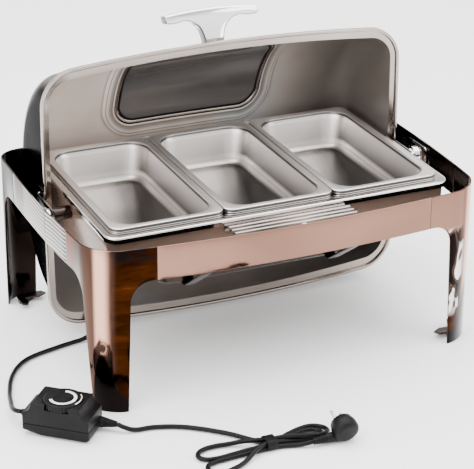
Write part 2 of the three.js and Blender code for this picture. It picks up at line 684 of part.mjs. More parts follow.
// ---- cords: a round tube along points chosen by hand, in the floor's frame ----
function cordTube(points, steps) {
  const curve = new THREE.CatmullRomCurve3(points.map((point) => new THREE.Vector3(...point)), false, 'centripetal');
  const section = polygon(Array.from({ length: 8 }, (_, i) => {
    const angle = (Math.PI * (i + 0.5)) / 4;
    return [CORD_R * Math.cos(angle), CORD_R * Math.sin(angle)];
  }));
  return new THREE.ExtrudeGeometry(section, { steps, bevelEnabled: false, extrudePath: curve });
}

const FLOOR = CORD_R + 0.5;
const inBox = (x, y, z) => box.localToWorld(new THREE.Vector3(x, y, z)).toArray();
box.updateMatrixWorld(true);
const leadExit = inBox(-halfLength - SHORT_GLAND - 1.5, -2, 21);
const mainsExit = inBox(halfLength + LONG_GLAND + 1.5, 20, 12);

const HEATER_LEAD = [
  leadExit, inBox(-halfLength - 21, -1, 19.5), [-423, -160, 15], [-418, -138, 10], [-412, -116, 6], [-404, -90, FLOOR],
  [-395, -66, FLOOR], [-383, -44, FLOOR], [-370, -27, FLOOR], [-354, -13, FLOOR], [-335, -4, FLOOR],
  [-311, 3, FLOOR], [-288, 9, FLOOR], [-264, 14, FLOOR], [-244, 15, 8], [-231, 15, 22], [-226, 14, 48], [-226, 12, 82],
  [-224, 11, 110], [-218, 10, 131], [-208, 10, 140.6], [-HEATER.plateX - LONG_GLAND - 1.5, 10, 142],
];
const MAINS_LEAD = [
  mainsExit, inBox(halfLength + 35, 20, 9), [-280, -272.5, 5], [-252, -276, FLOOR], [-221, -287, FLOOR],
  [-192, -306, FLOOR], [-170, -325, FLOOR], [-155, -340, FLOOR], [-147.6, -347.9, FLOOR],
];
place(group, 'heater_lead', cordTube(HEATER_LEAD, 42), MATERIALS.cord);
place(group, 'mains_lead', cordTube(MAINS_LEAD, 20), MATERIALS.cord);

// The tied hank: one plain solid with the outline of its four loops, and the strap round its waist.
const HANK_HEIGHT = 14;

function hankOutline() {
  const shape = new THREE.Shape();
  shape.moveTo(-118, -364);
  shape.lineTo(-140, -352);
  shape.lineTo(-205, -352);
  shape.absarc(-208, -374, 20, Math.PI / 2, Math.PI);
  shape.lineTo(-228, -412);
  shape.absarc(-208, -412, 20, Math.PI, 1.5 * Math.PI);
  shape.lineTo(-170, -428);
  shape.lineTo(-110, -412);
  shape.lineTo(-64, -419);
  shape.lineTo(-64, -401);
  shape.lineTo(-36, -399);
  shape.lineTo(-24, -388);
  shape.absarc(-42, -374, 18, 0, Math.PI / 2);
  shape.lineTo(-76, -356);
  shape.lineTo(-98, -364);
  shape.closePath();
  return shape;
}
place(group, 'cord_hank', upright(hankOutline(), 0, HANK_HEIGHT, 4), MATERIALS.cord);
place(group, 'cable_tie', slab(-128, -114, -404, -368, HANK_HEIGHT + GAP, HANK_HEIGHT + 2), MATERIALS.rubber);

// Right-angle plug that lies on the edge of its round body, with a side neck and two round pins to the back.
const PLUG = { x: -16, y: -410, lean: 72, lift: 17, pinTurn: 32, pinSpacing: 19, pinLength: 17, radius: 19, height: 26 };
const plug = new THREE.Group();
plug.position.set(PLUG.x, PLUG.y, 0);
group.add(plug);

function plugBody() {
  const profile = [[0, 0], [15, 0], [PLUG.radius, 5], [PLUG.radius, 18], [16, PLUG.height], [0, PLUG.height]];
  const body = new THREE.LatheGeometry(profile.map(([r, h]) => new THREE.Vector2(r, h)), 24).rotateX(Math.PI / 2);
  const leaning = body.rotateX(-THREE.MathUtils.degToRad(PLUG.lean)).translate(0, -PLUG.height / 2, PLUG.lift);
  const neck = new THREE.CylinderGeometry(8, 5, 37, 12).rotateZ(-Math.PI / 2).translate(-29, 1, 9);
  return joined(leaning, neck);
}
place(plug, 'plug_body', plugBody(), MATERIALS.box);
for (const [name, side] of [['live', -1], ['neutral', 1]]) {
  const pin = place(plug, `plug_pin_${name}`, rodZ(2.4, 0, PLUG.pinLength, 10), MATERIALS.brass);
  const turn = THREE.MathUtils.degToRad(PLUG.pinTurn);
  const reach = (side * PLUG.pinSpacing) / 2;
  const lean = -THREE.MathUtils.degToRad(PLUG.lean);
  const foot = new THREE.Vector3(reach * Math.cos(turn), reach * Math.sin(turn), PLUG.height + GAP);
  pin.position.copy(foot.applyAxisAngle(new THREE.Vector3(1, 0, 0), lean)).add(new THREE.Vector3(0, -PLUG.height / 2, PLUG.lift));
  pin.rotation.x = lean;
}

export default group;
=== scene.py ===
"""Roll top chafer: finished pieces and finishes around the loaded frame. Lengths here are millimetres."""

import math

import bmesh
import bpy
from bpy.props import FloatProperty, FloatVectorProperty, IntProperty, PointerProperty
from mathutils import Matrix, Vector


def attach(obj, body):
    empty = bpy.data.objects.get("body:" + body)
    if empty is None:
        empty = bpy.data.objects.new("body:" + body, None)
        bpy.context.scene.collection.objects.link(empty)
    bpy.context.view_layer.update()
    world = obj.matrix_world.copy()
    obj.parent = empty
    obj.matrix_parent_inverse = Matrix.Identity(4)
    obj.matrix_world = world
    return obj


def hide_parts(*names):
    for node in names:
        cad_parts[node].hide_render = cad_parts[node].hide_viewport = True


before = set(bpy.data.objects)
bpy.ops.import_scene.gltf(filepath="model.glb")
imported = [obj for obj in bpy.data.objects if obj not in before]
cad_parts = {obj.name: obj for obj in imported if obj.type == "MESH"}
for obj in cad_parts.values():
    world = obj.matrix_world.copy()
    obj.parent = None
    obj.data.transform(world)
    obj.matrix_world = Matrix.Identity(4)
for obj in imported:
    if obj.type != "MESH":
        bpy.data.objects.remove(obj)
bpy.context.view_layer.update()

bl_info = {
    "name": "Roll top chafer",
    "version": (1, 0, 0),
    "blender": (4, 5, 0),
    "location": "View3D > Sidebar > Chafer",
    "description": "Builds the visible pieces of a roll top chafer with its heater, control box and cord",
    "category": "Object",
}

MM = 0.001
SIDES = (("left", -1), ("right", 1))
PIVOT_HEIGHT = 230.0
WINDOW_HALF = (126.0, 84.0)
WINDOW_RADIUS = 34.0
WINDOW_CENTRE = Vector((0, -130.0, 186.0))
WINDOW_TILT = math.radians(34.5)
LID_PLACE = Matrix.Translation((0, 0, PIVOT_HEIGHT)) @ Matrix.Rotation(-math.pi / 2, 4, "X")


# ---- sizes and colours that a user would change ----
def length_prop(name, description, default):
    """A length in metres, given here in millimetres."""
    return FloatProperty(name=name, description=description, default=default * MM, min=0.0, unit="LENGTH")


def colour_prop(name, description, default):
    return FloatVectorProperty(name=name, description=description, default=default, size=3, min=0.0, max=1.0,
                               subtype="COLOR")


class ChaferStandSizes(bpy.types.PropertyGroup):
    half_length: length_prop("Half length", "From the middle to the end rails", 323)
    half_width: length_prop("Half width", "From the middle to the long rails", 232)
    side_bow: length_prop("Side bow", "How far the long rails curve in towards the corners", 25)
    end_bow: length_prop("End bow", "How far the front half of the end rails curves in", 15)
    rear_end_bow: length_prop("Rear end bow", "How far the rear half of the end rails curves in", 3)
    front_radius: length_prop("Front corner radius", "Radius of the front corners", 40)
    rear_radius: length_prop("Rear corner radius", "Radius of the rear corners", 28)
    top: length_prop("Top", "Height of the rails' upper edge", 256)
    rail_height: length_prop("Rail height", "Height of the rails themselves", 51)
    sheet: length_prop("Sheet", "Thickness of the stand's sheet", 2.6)


class ChaferPanSizes(bpy.types.PropertyGroup):
    half_length: length_prop("Half width", "Half the width of a food pan across the stand", 87.7)
    half_width: length_prop("Half length", "Half the length of a food pan front to back", 162.5)
    rim: length_prop("Rim", "Height of the pans' rims", 265)
    depth: length_prop("Depth", "Depth of a food pan", 64)
    pitch: length_prop("Pitch", "Distance from pan to pan", 176)


class ChaferLidSizes(bpy.types.PropertyGroup):
    half_length: length_prop("Half length", "From the middle to the lid's end walls", 288)
    half_width: length_prop("Half width", "From the middle to the lid's side walls", 206)
    height: length_prop("Height", "Height of the dome", 173)
    sheet: length_prop("Sheet", "Thickness of the lid's sheet", 1.8)
    press: length_prop("Press", "How deep the panel round the window is pressed", 4.2)
    arch_steps: IntProperty(name="Arch steps", description="Faces across the dome", default=108, min=24)
    side_steps: IntProperty(name="Side steps", description="Faces along half of the dome's side", default=56,
                            min=8)


class ChaferCordSizes(bpy.types.PropertyGroup):
    diameter: length_prop("Diameter", "Diameter of both leads", 7)
    mains_length: length_prop("Mains length", "Length of the mains lead", 1130)
    heater_length: length_prop("Heater lead length", "Length of the heater lead", 471)


class ChaferFinishes(bpy.types.PropertyGroup):
    # The two bronze tones give the stand's colour and the painted reflections and highlights made from it.
    bronze: colour_prop("Bronze", "Light tone of the stand's polished sheet", (0.24, 0.130, 0.094))
    bronze_deep: colour_prop("Deep bronze", "Deep tone of the stand's polished sheet",
                             (0.016, 0.0042, 0.0008))
    steel: colour_prop("Steel", "Satin steel of the pans", (0.70, 0.665, 0.645))
    lid_inside: colour_prop("Lid inside", "Brushed steel inside the lid", (0.99, 0.85, 0.75))
    # Used only as the painted dark reflection on the lid's flat end walls.
    lid_outside: colour_prop("Lid outside", "Polished steel outside the lid", (0.034, 0.034, 0.0345))
    plastic: colour_prop("Plastic", "Black plastic of the control box and plug", (0.0022, 0.002, 0.0026))
    print_tone: colour_prop("Scale print", "Print on the thermostat dial", (0.86, 0.86, 0.9))


def mm(value):
    return value / MM


# ---- mesh tools, in millimetres ----
def bowed_quadrant(half_x, half_y, bow_x, bow_y, radius, end, corner, side):
    """First quadrant of a bowed rectangle with round corners, from (+X, 0) to (0, +Y)."""
    def end_line(y):
        return Vector((half_x - bow_x * (y / half_y) ** 2, y))

    def side_line(x):
        return Vector((x, half_y - bow_y * (x / half_x) ** 2))

    tip = Vector((half_x - bow_x, half_y - bow_y))
    start, stop = end_line(tip.y - radius), side_line(tip.x - radius)
    pull_a, pull_b = start.lerp(tip, 0.5523), stop.lerp(tip, 0.5523)
    points = [end_line(start.y * i / end) for i in range(end)]
    for i in range(corner):
        t = i / corner
        a, b, c = start.lerp(pull_a, t), pull_a.lerp(pull_b, t), pull_b.lerp(stop, t)
        points.append(a.lerp(b, t).lerp(b.lerp(c, t), t))
    points += [side_line(stop.x * (1 - i / side)) for i in range(side + 1)]
    return points


def bowed_loop(half_x, half_y, radius, z, bow=(0.0, 0.0), steps=(4, 12, 4)):
    """The whole loop, counter-clockwise from (+X, 0), at the height z."""
    quadrant = bowed_quadrant(half_x, half_y, bow[0], bow[1], radius, *steps)
    half = quadrant + [Vector((-p.x, p.y)) for p in reversed(quadrant[:-1])]
    whole = half + [Vector((p.x, -p.y)) for p in reversed(half[1:-1])]
    return [Vector((p.x, p.y, z)) for p in whole]


def run_edges(verts, closed):
    pairs = list(zip(verts, verts[1:])) + ([(verts[-1], verts[0])] if closed else [])
    return pairs


def start_run(bm, points, closed):
    verts = [bm.verts.new(p) for p in points]
    for a, b in run_edges(verts, closed):
        bm.edges.new((a, b))
    return verts


def extrude_run(bm, verts, points, closed):
    """Extrudes a run of edges, puts the new verts at points and gives them in order."""
    order = {v: i for i, v in enumerate(verts)}
    edges = [e for e in (bm.edges.get(pair) for pair in run_edges(verts, closed)) if e]
    made = bmesh.ops.extrude_edge_only(bm, edges=edges)
    grown = [None] * len(verts)
    for v in (g for g in made["geom"] if isinstance(g, bmesh.types.BMVert)):
        old = next(e.other_vert(v) for e in v.link_edges if e.other_vert(v) in order)
        grown[order[old]] = v
    for v, p in zip(grown, points):
        v.co = p
    return grown


def loft(bm, loops, closed=True, cap_first=False, cap_last=False, ring=False):
    """A skin through runs of equal length. Caps close its ends, ring joins the last run to the first."""
    first = start_run(bm, loops[0], closed)
    last = first
    for points in loops[1:] + ([loops[0]] if ring else []):
        last = extrude_run(bm, last, points, closed)
    for wanted, verts in ((cap_first, first), (cap_last, last)):
        if wanted:
            bmesh.ops.contextual_create(bm, geom=[bm.edges.get(pair) for pair in run_edges(verts, True)])
    return bm


def tidy_mesh(bm):
    bmesh.ops.remove_doubles(bm, verts=bm.verts, dist=1e-3)
    bmesh.ops.dissolve_degenerate(bm, edges=bm.edges, dist=1e-4)
    bmesh.ops.recalc_face_normals(bm, faces=bm.faces)


def round_edges(bm, edges, width, segments=2):
    bmesh.ops.bevel(bm, geom=edges, offset=width, offset_type="OFFSET", affect="EDGES", segments=segments,
                    profile=0.5, material=-1, clamp_overlap=True)


def sharp_edges(bm, degrees):
    return [e for e in bm.edges if len(e.link_faces) == 2 and e.calc_face_angle(0.0) > math.radians(degrees)]


def prism(outline, low, high, axis="Z"):
    """A prism of an outline: (x, y) along Z, (y, z) along X or (x, z) along Y."""
    place = {"Z": lambda a, b: (a, b, low),
             "X": lambda a, b: (low, a, b),
             "Y": lambda a, b: (a, low, b)}[axis]
    bm = bmesh.new()
    face = bm.faces.new([bm.verts.new(place(a, b)) for a, b in outline])
    grown = bmesh.ops.extrude_face_region(bm, geom=[face])
    step = Vector({"Z": (0, 0, 1), "X": (1, 0, 0), "Y": (0, 1, 0)}[axis]) * (high - low)
    bmesh.ops.translate(bm, vec=step, verts=[g for g in grown["geom"] if isinstance(g, bmesh.types.BMVert)])
    bmesh.ops.recalc_face_normals(bm, faces=bm.faces)
    return bm


def turned(profile, steps=48, place=None):
    """A body of revolution about Z from (radius, height) points, closed on the axis."""
    bm = bmesh.new()
    verts = start_run(bm, [Vector((r, 0, h)) for r, h in profile], False)
    bmesh.ops.spin(bm, geom=verts + bm.edges[:], cent=(0, 0, 0), axis=(0, 0, 1), angle=2 * math.pi,
                   steps=steps, use_merge=True)
    tidy_mesh(bm)
    if place is not None:
        bmesh.ops.transform(bm, matrix=place, verts=bm.verts)
    return bm


def added(bm, *others):
    for other in others:
        mesh = bpy.data.meshes.new("part")
        other.to_mesh(mesh)
        other.free()
        bm.from_mesh(mesh)
        bpy.data.meshes.remove(mesh)
    return bm


def carved(bm, cutters, finishes=(), operation="DIFFERENCE"):
    """bm with closed cutters taken away, by the Boolean modifier."""
    parts = []
    for i, source in enumerate([bm, *cutters]):
        mesh = bpy.data.meshes.new(f"carve_{i}")
        source.to_mesh(mesh)
        source.free()
        for finish in finishes:
            mesh.materials.append(FINISHES[finish])
        thing = bpy.data.objects.new(f"carve_{i}", mesh)
        bpy.context.scene.collection.objects.link(thing)
        parts.append(thing)
    for cutter in parts[1:]:
        step = parts[0].modifiers.new("Carve", "BOOLEAN")
        step.operation, step.solver, step.object = operation, "EXACT", cutter
    bpy.context.view_layer.update()
    result = parts[0].evaluated_get(bpy.context.evaluated_depsgraph_get()).to_mesh()
    out = bmesh.new()
    out.from_mesh(result)
    parts[0].to_mesh_clear()
    for thing in parts:
        mesh = thing.data
        bpy.data.objects.remove(thing)
        bpy.data.meshes.remove(mesh)
    return out


def finish_piece(bm, name, finishes, body, replaces=(), sharp=32, place=None):
    """Writes a mesh in metres with its place in its vertices, and puts it on a body."""
    if place is not None:
        bmesh.ops.transform(bm, matrix=place, verts=bm.verts)
    bmesh.ops.scale(bm, vec=(MM, MM, MM), verts=bm.verts)
    for face in bm.faces:
        face.smooth = True
    for edge in bm.edges:
        if len(edge.link_faces) == 2 and edge.calc_face_angle(0.0) > math.radians(sharp):
            edge.smooth = False
    mesh = bpy.data.meshes.new(name)
    bm.to_mesh(mesh)
    bm.free()
    piece = bpy.data.objects.new(name, mesh)
    bpy.context.scene.collection.objects.link(piece)
    for finish in finishes:
        mesh.materials.append(FINISHES[finish])
    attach(piece, body)
    if replaces:
        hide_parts(*replaces)
    return piece


# ---- finishes ----
FINISHES = {}


class Finish:
    """Builds one procedural material: patterns on Object coordinates, constants on the shader's sockets."""

    def __init__(self, name, metallic, roughness, **constants):
        self.material = bpy.data.materials.new(name)
        self.material.use_nodes = True
        self.nodes, self.links = self.material.node_tree.nodes, self.material.node_tree.links
        self.shader = self.nodes["Principled BSDF"]
        self.shader.inputs["Metallic"].default_value = metallic
        self.shader.inputs["Roughness"].default_value = roughness
        for socket, value in constants.items():
            self.shader.inputs[socket.replace("_", " ")].default_value = value
        self.place = self.nodes.new("ShaderNodeTexCoord").outputs["Object"]
        FINISHES[name] = self.material

    def join(self, source, target):
        self.links.new(source, target)

    def mapped(self, scale, location=(0, 0, 0), rotation=(0, 0, 0)):
        node = self.nodes.new("ShaderNodeMapping")
        node.inputs["Scale"].default_value = scale
        node.inputs["Location"].default_value = location
        node.inputs["Rotation"].default_value = rotation
        self.join(self.place, node.inputs["Vector"])
        return node.outputs["Vector"]

    def noise(self, scale, detail=3.0, rough=0.5, distortion=0.0, stretch=(1, 1, 1), location=(0, 0, 0)):
        node = self.nodes.new("ShaderNodeTexNoise")
        for socket, value in (("Scale", scale), ("Detail", detail), ("Roughness", rough),
                              ("Distortion", distortion)):
            node.inputs[socket].default_value = value
        self.join(self.mapped(stretch, location), node.inputs["Vector"])
        return node.outputs["Fac"]

    def math(self, operation, a, b, clamp=False):
        node = self.nodes.new("ShaderNodeMath")
        node.operation, node.use_clamp = operation, clamp
        for socket, value in zip(node.inputs, (a, b)):
            if isinstance(value, (int, float)):
                socket.default_value = value
            else:
                self.join(value, socket)
        return node.outputs["Value"]

    def span(self, value, low, high, to_low=0.0, to_high=1.0):
        node = self.nodes.new("ShaderNodeMapRange")
        node.interpolation_type = "SMOOTHSTEP"
        for socket, number in (("From Min", low), ("From Max", high), ("To Min", to_low),
                               ("To Max", to_high)):
            node.inputs[socket].default_value = number
        self.join(value, node.inputs["Value"])
        return node.outputs["Result"]

    def ramp(self, value, *stops):
        node = self.nodes.new("ShaderNodeValToRGB")
        bar = node.color_ramp.elements
        while len(bar) < len(stops):
            bar.new(0.5)
        for element, (position, colour) in zip(bar, stops):
            element.position, element.color = position, (*colour, 1)
        self.join(value, node.inputs["Fac"])
        return node.outputs["Color"]

    def mix(self, share, a, b, blend="MIX"):
        node = self.nodes.new("ShaderNodeMix")
        node.data_type, node.blend_type = "RGBA", blend
        for socket, value in ((node.inputs["Factor"], share), (node.inputs[6], a), (node.inputs[7], b)):
            if isinstance(value, (int, float)):
                socket.default_value = value
            elif isinstance(value, (tuple, list, Vector)) or hasattr(value, "r"):
                socket.default_value = (*value, 1)
            else:
                self.join(value, socket)
        return node.outputs[2]

    def axis(self, name, kind="place"):
        """One coordinate of the place on the piece, or of the surface normal."""
        key = f"axes_{kind}"
        if not hasattr(self, key):
            node = self.nodes.new("ShaderNodeSeparateXYZ")
            source = (self.place if kind == "place"
                      else self.nodes.new("ShaderNodeNewGeometry").outputs["Normal"])
            self.join(source, node.inputs["Vector"])
            setattr(self, key, node)
        return getattr(self, key).outputs[name]

    def colour(self, value):
        self.join(value, self.shader.inputs["Base Color"])

    def roughness(self, value, low, high):
        self.join(self.span(value, 0.25, 0.75, low, high), self.shader.inputs["Roughness"])

    def bump(self, *layers):
        """Layers of (height, strength, distance in millimetres)."""
        normal = None
        for height, strength, distance in layers:
            node = self.nodes.new("ShaderNodeBump")
            node.inputs["Strength"].default_value = strength
            node.inputs["Distance"].default_value = distance * MM
            self.join(height, node.inputs["Height"])
            if normal is not None:
                self.join(normal, node.inputs["Normal"])
            normal = node.outputs["Normal"]
        self.join(normal, self.shader.inputs["Normal"])


def scaled(colour, factor):
    return tuple(min(1.0, c * factor) for c in colour)


def wavy_bronze(name, tones, wave, turn):
    """Polished bronze sheet with soft streaks of painted reflection. Tones are the (position, colour) stops
    of these streaks.
    """
    finish = Finish(name, 1.0, 0.12)
    # Soft streaks of painted reflection.
    reflection_waves = finish.noise(3.2, 2.0, 0.45, 0.8, stretch=(1.0, 1.0, wave), location=(turn, 0.3, 0.1))
    finish.colour(finish.ramp(reflection_waves, *tones))
    finish.roughness(finish.noise(40, 2.0), 0.07, 0.16)
    finish.bump((finish.noise(9, 1.0, stretch=(1, 1, 0.6)), 0.25, 1.2), (finish.noise(900, 1.0), 0.04, 0.05))
    return finish


def brushed_steel(name, colour, stretch, roughness, contrast=0.12, metallic=1.0, streaks=0.94):
    """Satin or polished sheet steel with fine brush lines along the short direction of stretch."""
    finish = Finish(name, metallic, roughness)
    cloud = finish.noise(5.5, 3.0, 0.5)
    lines = finish.noise(420, 2.0, 0.6, stretch=stretch)
    shade = finish.ramp(cloud, (0.3, scaled(colour, 1 - contrast)), (0.7, scaled(colour, 1 + contrast)))
    streak = finish.ramp(lines, (0.3, (streaks,) * 3), (0.7, (1, 1, 1)))
    finish.colour(finish.mix(0.6, shade, streak, "MULTIPLY"))
    finish.roughness(lines, roughness * 0.85, roughness * 1.15)
    finish.bump((lines, 0.02, 0.03))
    return finish


def moulded(name, colour, roughness, grain=700, depth=0.15):
    """Moulded plastic or rubber with a fine grain and faint handling marks."""
    finish = Finish(name, 0.0, roughness, Specular_IOR_Level=0.14)
    cloud = finish.noise(60, 4.0, 0.6)
    finish.colour(finish.ramp(cloud, (0.35, scaled(colour, 0.7)), (0.7, scaled(colour, 1.8))))
    finish.roughness(cloud, roughness * 0.85, roughness * 1.15)
    finish.bump((finish.noise(grain, 2.0), 0.25, depth))
    return finish


def make_finishes(tones):
    bronze, deep = tuple(tones.bronze), tuple(tones.bronze_deep)
    black = (0.006, 0.004, 0.004)
    make_stand_finishes(bronze, deep, black)
    make_pan_steel(tuple(tones.steel))
    brushed_steel("polished_steel", (0.70, 0.67, 0.66), (0.05, 1, 1), 0.1)
    brushed_steel("rim_steel", (0.36, 0.31, 0.28), (0.05, 1, 1), 0.16)
    brushed_steel("carrier_steel", (0.20, 0.13, 0.10), (0.05, 1, 1), 0.2, 0.2, 0.35)
    make_ridged_plate()
    make_lid_outside(tuple(tones.lid_outside))
    brushed_steel("dark_steel", (0.045, 0.034, 0.03), (1, 1, 0.1), 0.25, 0.4)
    brushed_steel("chrome", (0.86, 0.86, 0.87), (0.2, 1, 1), 0.05, 0.04)
    make_handle_chrome()
    brushed_steel("pin_metal", (0.62, 0.58, 0.5), (1, 1, 0.1), 0.22, 0.1)
    make_lid_inside(tuple(tones.lid_inside))
    cast = Finish("cast_alloy", 1.0, 0.5)
    cast.colour(cast.ramp(cast.noise(90, 5.0, 0.65), (0.3, (0.25, 0.25, 0.25)), (0.7, (0.42, 0.42, 0.42))))
    cast.bump((cast.noise(500, 3.0), 0.4, 0.3))
    glass = Finish("smoked_glass", 0.0, 0.04, IOR=1.5, Coat_Weight=0.3, Coat_Roughness=0.02)
    # Bands of painted reflection on the smoked glass.
    bands = glass.noise(2.2, 2.0, 0.5, 0.5, stretch=(0.4, 2.0, 2.6))
    glass.colour(glass.ramp(bands, (0.35, (0.05, 0.047, 0.046)), (0.52, (0.10, 0.092, 0.09)),
                            (0.68, (0.27, 0.25, 0.24))))
    glass.bump((glass.noise(4, 1.0), 0.05, 0.5))
    plastic = tuple(tones.plastic)
    moulded("black_plastic", plastic, 0.42, 900, 0.12)
    moulded("black_rubber", (0.002, 0.0018, 0.0018), 0.55, 1200, 0.1)
    moulded("black_sleeve", (0.002, 0.0018, 0.002), 0.38, 1500, 0.06)
    moulded("dial_print", tuple(tones.print_tone), 0.5, 1200, 0.04)
    moulded("dial_print_warm", (0.72, 0.52, 0.54), 0.5, 1200, 0.04)


def make_stand_finishes(bronze, deep, black):
    # The long rails: bronze with streaks of painted reflection.
    rail = wavy_bronze("rail_bronze",
                       ((0.25, scaled(bronze, 0.8)), (0.5, bronze), (0.75, scaled(bronze, 1.15))),
                       2.0, 0.0)
    rail.shader.inputs["Roughness"].default_value = 0.16
    pale = (0.62, 0.57, 0.54)
    make_end_rail(scaled(pale, 0.62), black)
    # The rails' inner faces: near-black, with dark streaks of painted reflection.
    wavy_bronze("inner_bronze", ((0.3, black), (0.55, (0.016, 0.010, 0.008)), (0.78, (0.10, 0.07, 0.06))),
                0.5, 0.0)
    # Each leg gets its own light and deep tones: lit and shaded copies of one bronze, as painted light.
    for name, light, glow in (("leg_bronze_front_left", bronze, deep),
                              ("leg_bronze_front_right", scaled(bronze, 0.9), scaled(deep, 1.5)),
                              ("leg_bronze_rear_left", scaled(deep, 0.5), scaled(deep, 0.4)),
                              ("leg_bronze_rear_right", scaled(bronze, 0.7), scaled(deep, 0.8))):
        make_leg(name, light, glow, black, name == "leg_bronze_front_right")


def make_leg(name, light, glow, black, lively):
    """Bent leg sheet in painted reflection: grained streaks on its long face, upright streaks on its end
    face, a painted highlight down the corner.
    """
    leg = Finish(name, 1.0, 0.1)
    # Wood-like streaks of painted reflection along the long face.
    grain = leg.noise(9, 5.0, 0.6, 0.5, stretch=(1.0, 1.0, 5.0))
    front = leg.ramp(grain, (0.30, scaled(glow, 0.3)), (0.46, glow), (0.6, scaled(glow, 1.9)),
                     (0.72, scaled(glow, 4)))
    # Front right leg: patches of painted reflection low down and a light band of painted reflection at the
    # top.
    if lively:
        patch = leg.noise(15, 1.5, 0.5, 1.2, stretch=(1.8, 1.0, 0.8), location=(4, 0, 2))
        reflection_patches = leg.ramp(patch, (0.40, black), (0.46, scaled(light, 0.3)), (0.52, black),
                         (0.56, (0.7, 0.66, 0.64)), (0.66, (0.8, 0.77, 0.75)), (0.72, scaled(light, 0.4)))
        front = leg.mix(leg.span(leg.axis("Z"), 0.045, 0.060), front, reflection_patches)
        front = leg.mix(leg.span(leg.axis("Z"), 0.188, 0.200), front, light)
    # Painted dark reflection in pools near the foot.
    low = leg.span(leg.axis("Z"), 0.0, 0.04, 1.0, 0.0)
    dark_pool_reflection = leg.math("MULTIPLY", low, leg.span(leg.noise(14, 2.0, location=(3, 0, 0)), 0.40, 0.52))
    front = leg.mix(dark_pool_reflection, front, black)
    # Painted dark reflection near the top of the long face, broken by painted highlights, on every leg but
    # the front right.
    high = leg.span(leg.axis("Z"), 0.228, 0.250)
    shine = leg.span(leg.noise(26, 2.0, 0.5, 1.5, stretch=(1, 1, 1.6), location=(0, 5, 0)), 0.50, 0.56)
    front = leg.mix(0.0 if lively else leg.math("MULTIPLY", high, leg.math("SUBTRACT", 1.0, shine)), front,
                    black)
    # Upright streaks of painted reflection on the end face.
    streak = leg.noise(6, 3.0, 0.5, 0.8, stretch=(3, 3, 0.5))
    side = leg.ramp(streak, (0.32, scaled(light, 0.10)), (0.42, scaled(light, 0.26)),
                    (0.56, scaled(light, 0.38)), (0.7, scaled(light, 0.5)))
    # Amber patches of painted reflection on the upper end face.
    amber_reflection = leg.math("MULTIPLY", leg.span(leg.axis("Z"), 0.150, 0.185), leg.span(
        leg.noise(8, 2.0, 0.4, 0.6, location=(2, 1, 0)), 0.46, 0.54))
    side = leg.mix(amber_reflection, side, tuple(a * b for a, b in zip(light, (0.55, 0.22, 0.05))))
    facing = leg.math("ABSOLUTE", leg.axis("Y", "normal"), 0.0)
    # Painted highlight: a bright band down the corner.
    edge = leg.math("MULTIPLY", leg.span(facing, 0.56, 0.66), leg.span(facing, 0.74, 0.86, 1.0, 0.0))
    both = leg.mix(leg.span(facing, 0.80, 0.93), side, front)
    both = leg.mix(leg.math("MULTIPLY", edge, 0.8), both, scaled(light, 3.4))
    # A pointed shape of painted dark reflection at the foot of the corner.
    dark_spike_reflection = leg.math("MULTIPLY", leg.span(facing, 0.40, 0.70), leg.span(facing, 0.72, 0.97, 1.0, 0.25))
    reach = leg.math("MULTIPLY", dark_spike_reflection, 0.092)
    under = leg.span(leg.math("SUBTRACT", reach, leg.axis("Z")), -0.004, 0.004)
    leg.colour(leg.mix(leg.math("MULTIPLY", under, leg.span(facing, 0.36, 0.42)), both, black))
    leg.roughness(leg.noise(40, 2.0), 0.06, 0.15)
    leg.bump((leg.noise(9, 1.0, stretch=(1, 1, 0.5)), 0.3, 1.2), (leg.noise(900, 1.0), 0.04, 0.05))


def make_pan_steel(colour):
    """Satin steel with painted light on each pan: a painted reflection across the floor, painted light and
    shade up the walls, lighter rear walls and painted shade just under the rim.
    """
    steel = Finish("satin_steel", 0.9, 0.31)
    lines = steel.noise(420, 2.0, 0.6, stretch=(1, 0.04, 1))
    cloud = steel.noise(7, 2.0, 0.5)
    # Painted reflection on each floor: lighter to the left and rear, darker to the right and front.
    across = steel.math("WRAP", steel.axis("X"), 0.088)
    across.node.inputs[2].default_value = -0.088
    slope = steel.math("ADD", across, steel.math("MULTIPLY", steel.axis("Y"), -0.28))
    slope = steel.math("ADD", slope, steel.math("MULTIPLY", cloud, 0.03))
    floor_reflection = steel.ramp(steel.span(slope, -0.075, 0.105), (0.0, scaled(colour, 1.25)),
                            (0.28, scaled(colour, 1.0)), (0.45, scaled(colour, 0.4)),
                            (0.66, scaled(colour, 0.07)), (1.0, scaled(colour, 0.22)))
    # Painted light and shade in bands up the walls; the rear walls are painted lighter.
    wall_light_bands = steel.ramp(steel.span(steel.axis("Z"), 0.203, 0.262), (0.0, scaled(colour, 0.35)),
                           (0.12, scaled(colour, 1.35)), (0.26, scaled(colour, 0.22)),
                           (0.6, scaled(colour, 0.5)), (1.0, scaled(colour, 0.95)))
    back = steel.span(steel.math("MULTIPLY", steel.axis("Y", "normal"), -1.0), 0.35, 0.85)
    wall_light_and_shade = steel.mix(steel.math("MULTIPLY", back, 0.8), wall_light_bands, scaled(colour, 1.2))
    rim = steel.span(steel.axis("Z"), 0.2625, 0.2642)
    flat = steel.math("MULTIPLY", steel.span(steel.axis("Z", "normal"), 0.75, 0.97), steel.span(
        steel.axis("Z"), 0.208, 0.212, 1.0, 0.0))
    tone = steel.mix(rim, steel.mix(flat, wall_light_and_shade, floor_reflection), scaled(colour, 0.95))
    # Painted shade on the upright faces just under the rim.
    upright = steel.span(steel.axis("Z", "normal"), 0.45, 0.75, 1.0, 0.0)
    under_rim_shade = steel.math("MULTIPLY", upright, steel.span(steel.axis("Z"), 0.2592, 0.2608))
    tone = steel.mix(under_rim_shade, tone, scaled(colour, 0.12))
    streak = steel.ramp(lines, (0.3, (0.94, 0.94, 0.94)), (0.7, (1, 1, 1)))
    steel.colour(steel.mix(0.5, tone, streak, "MULTIPLY"))
    steel.roughness(lines, 0.28, 0.38)
    steel.bump((lines, 0.015, 0.02))


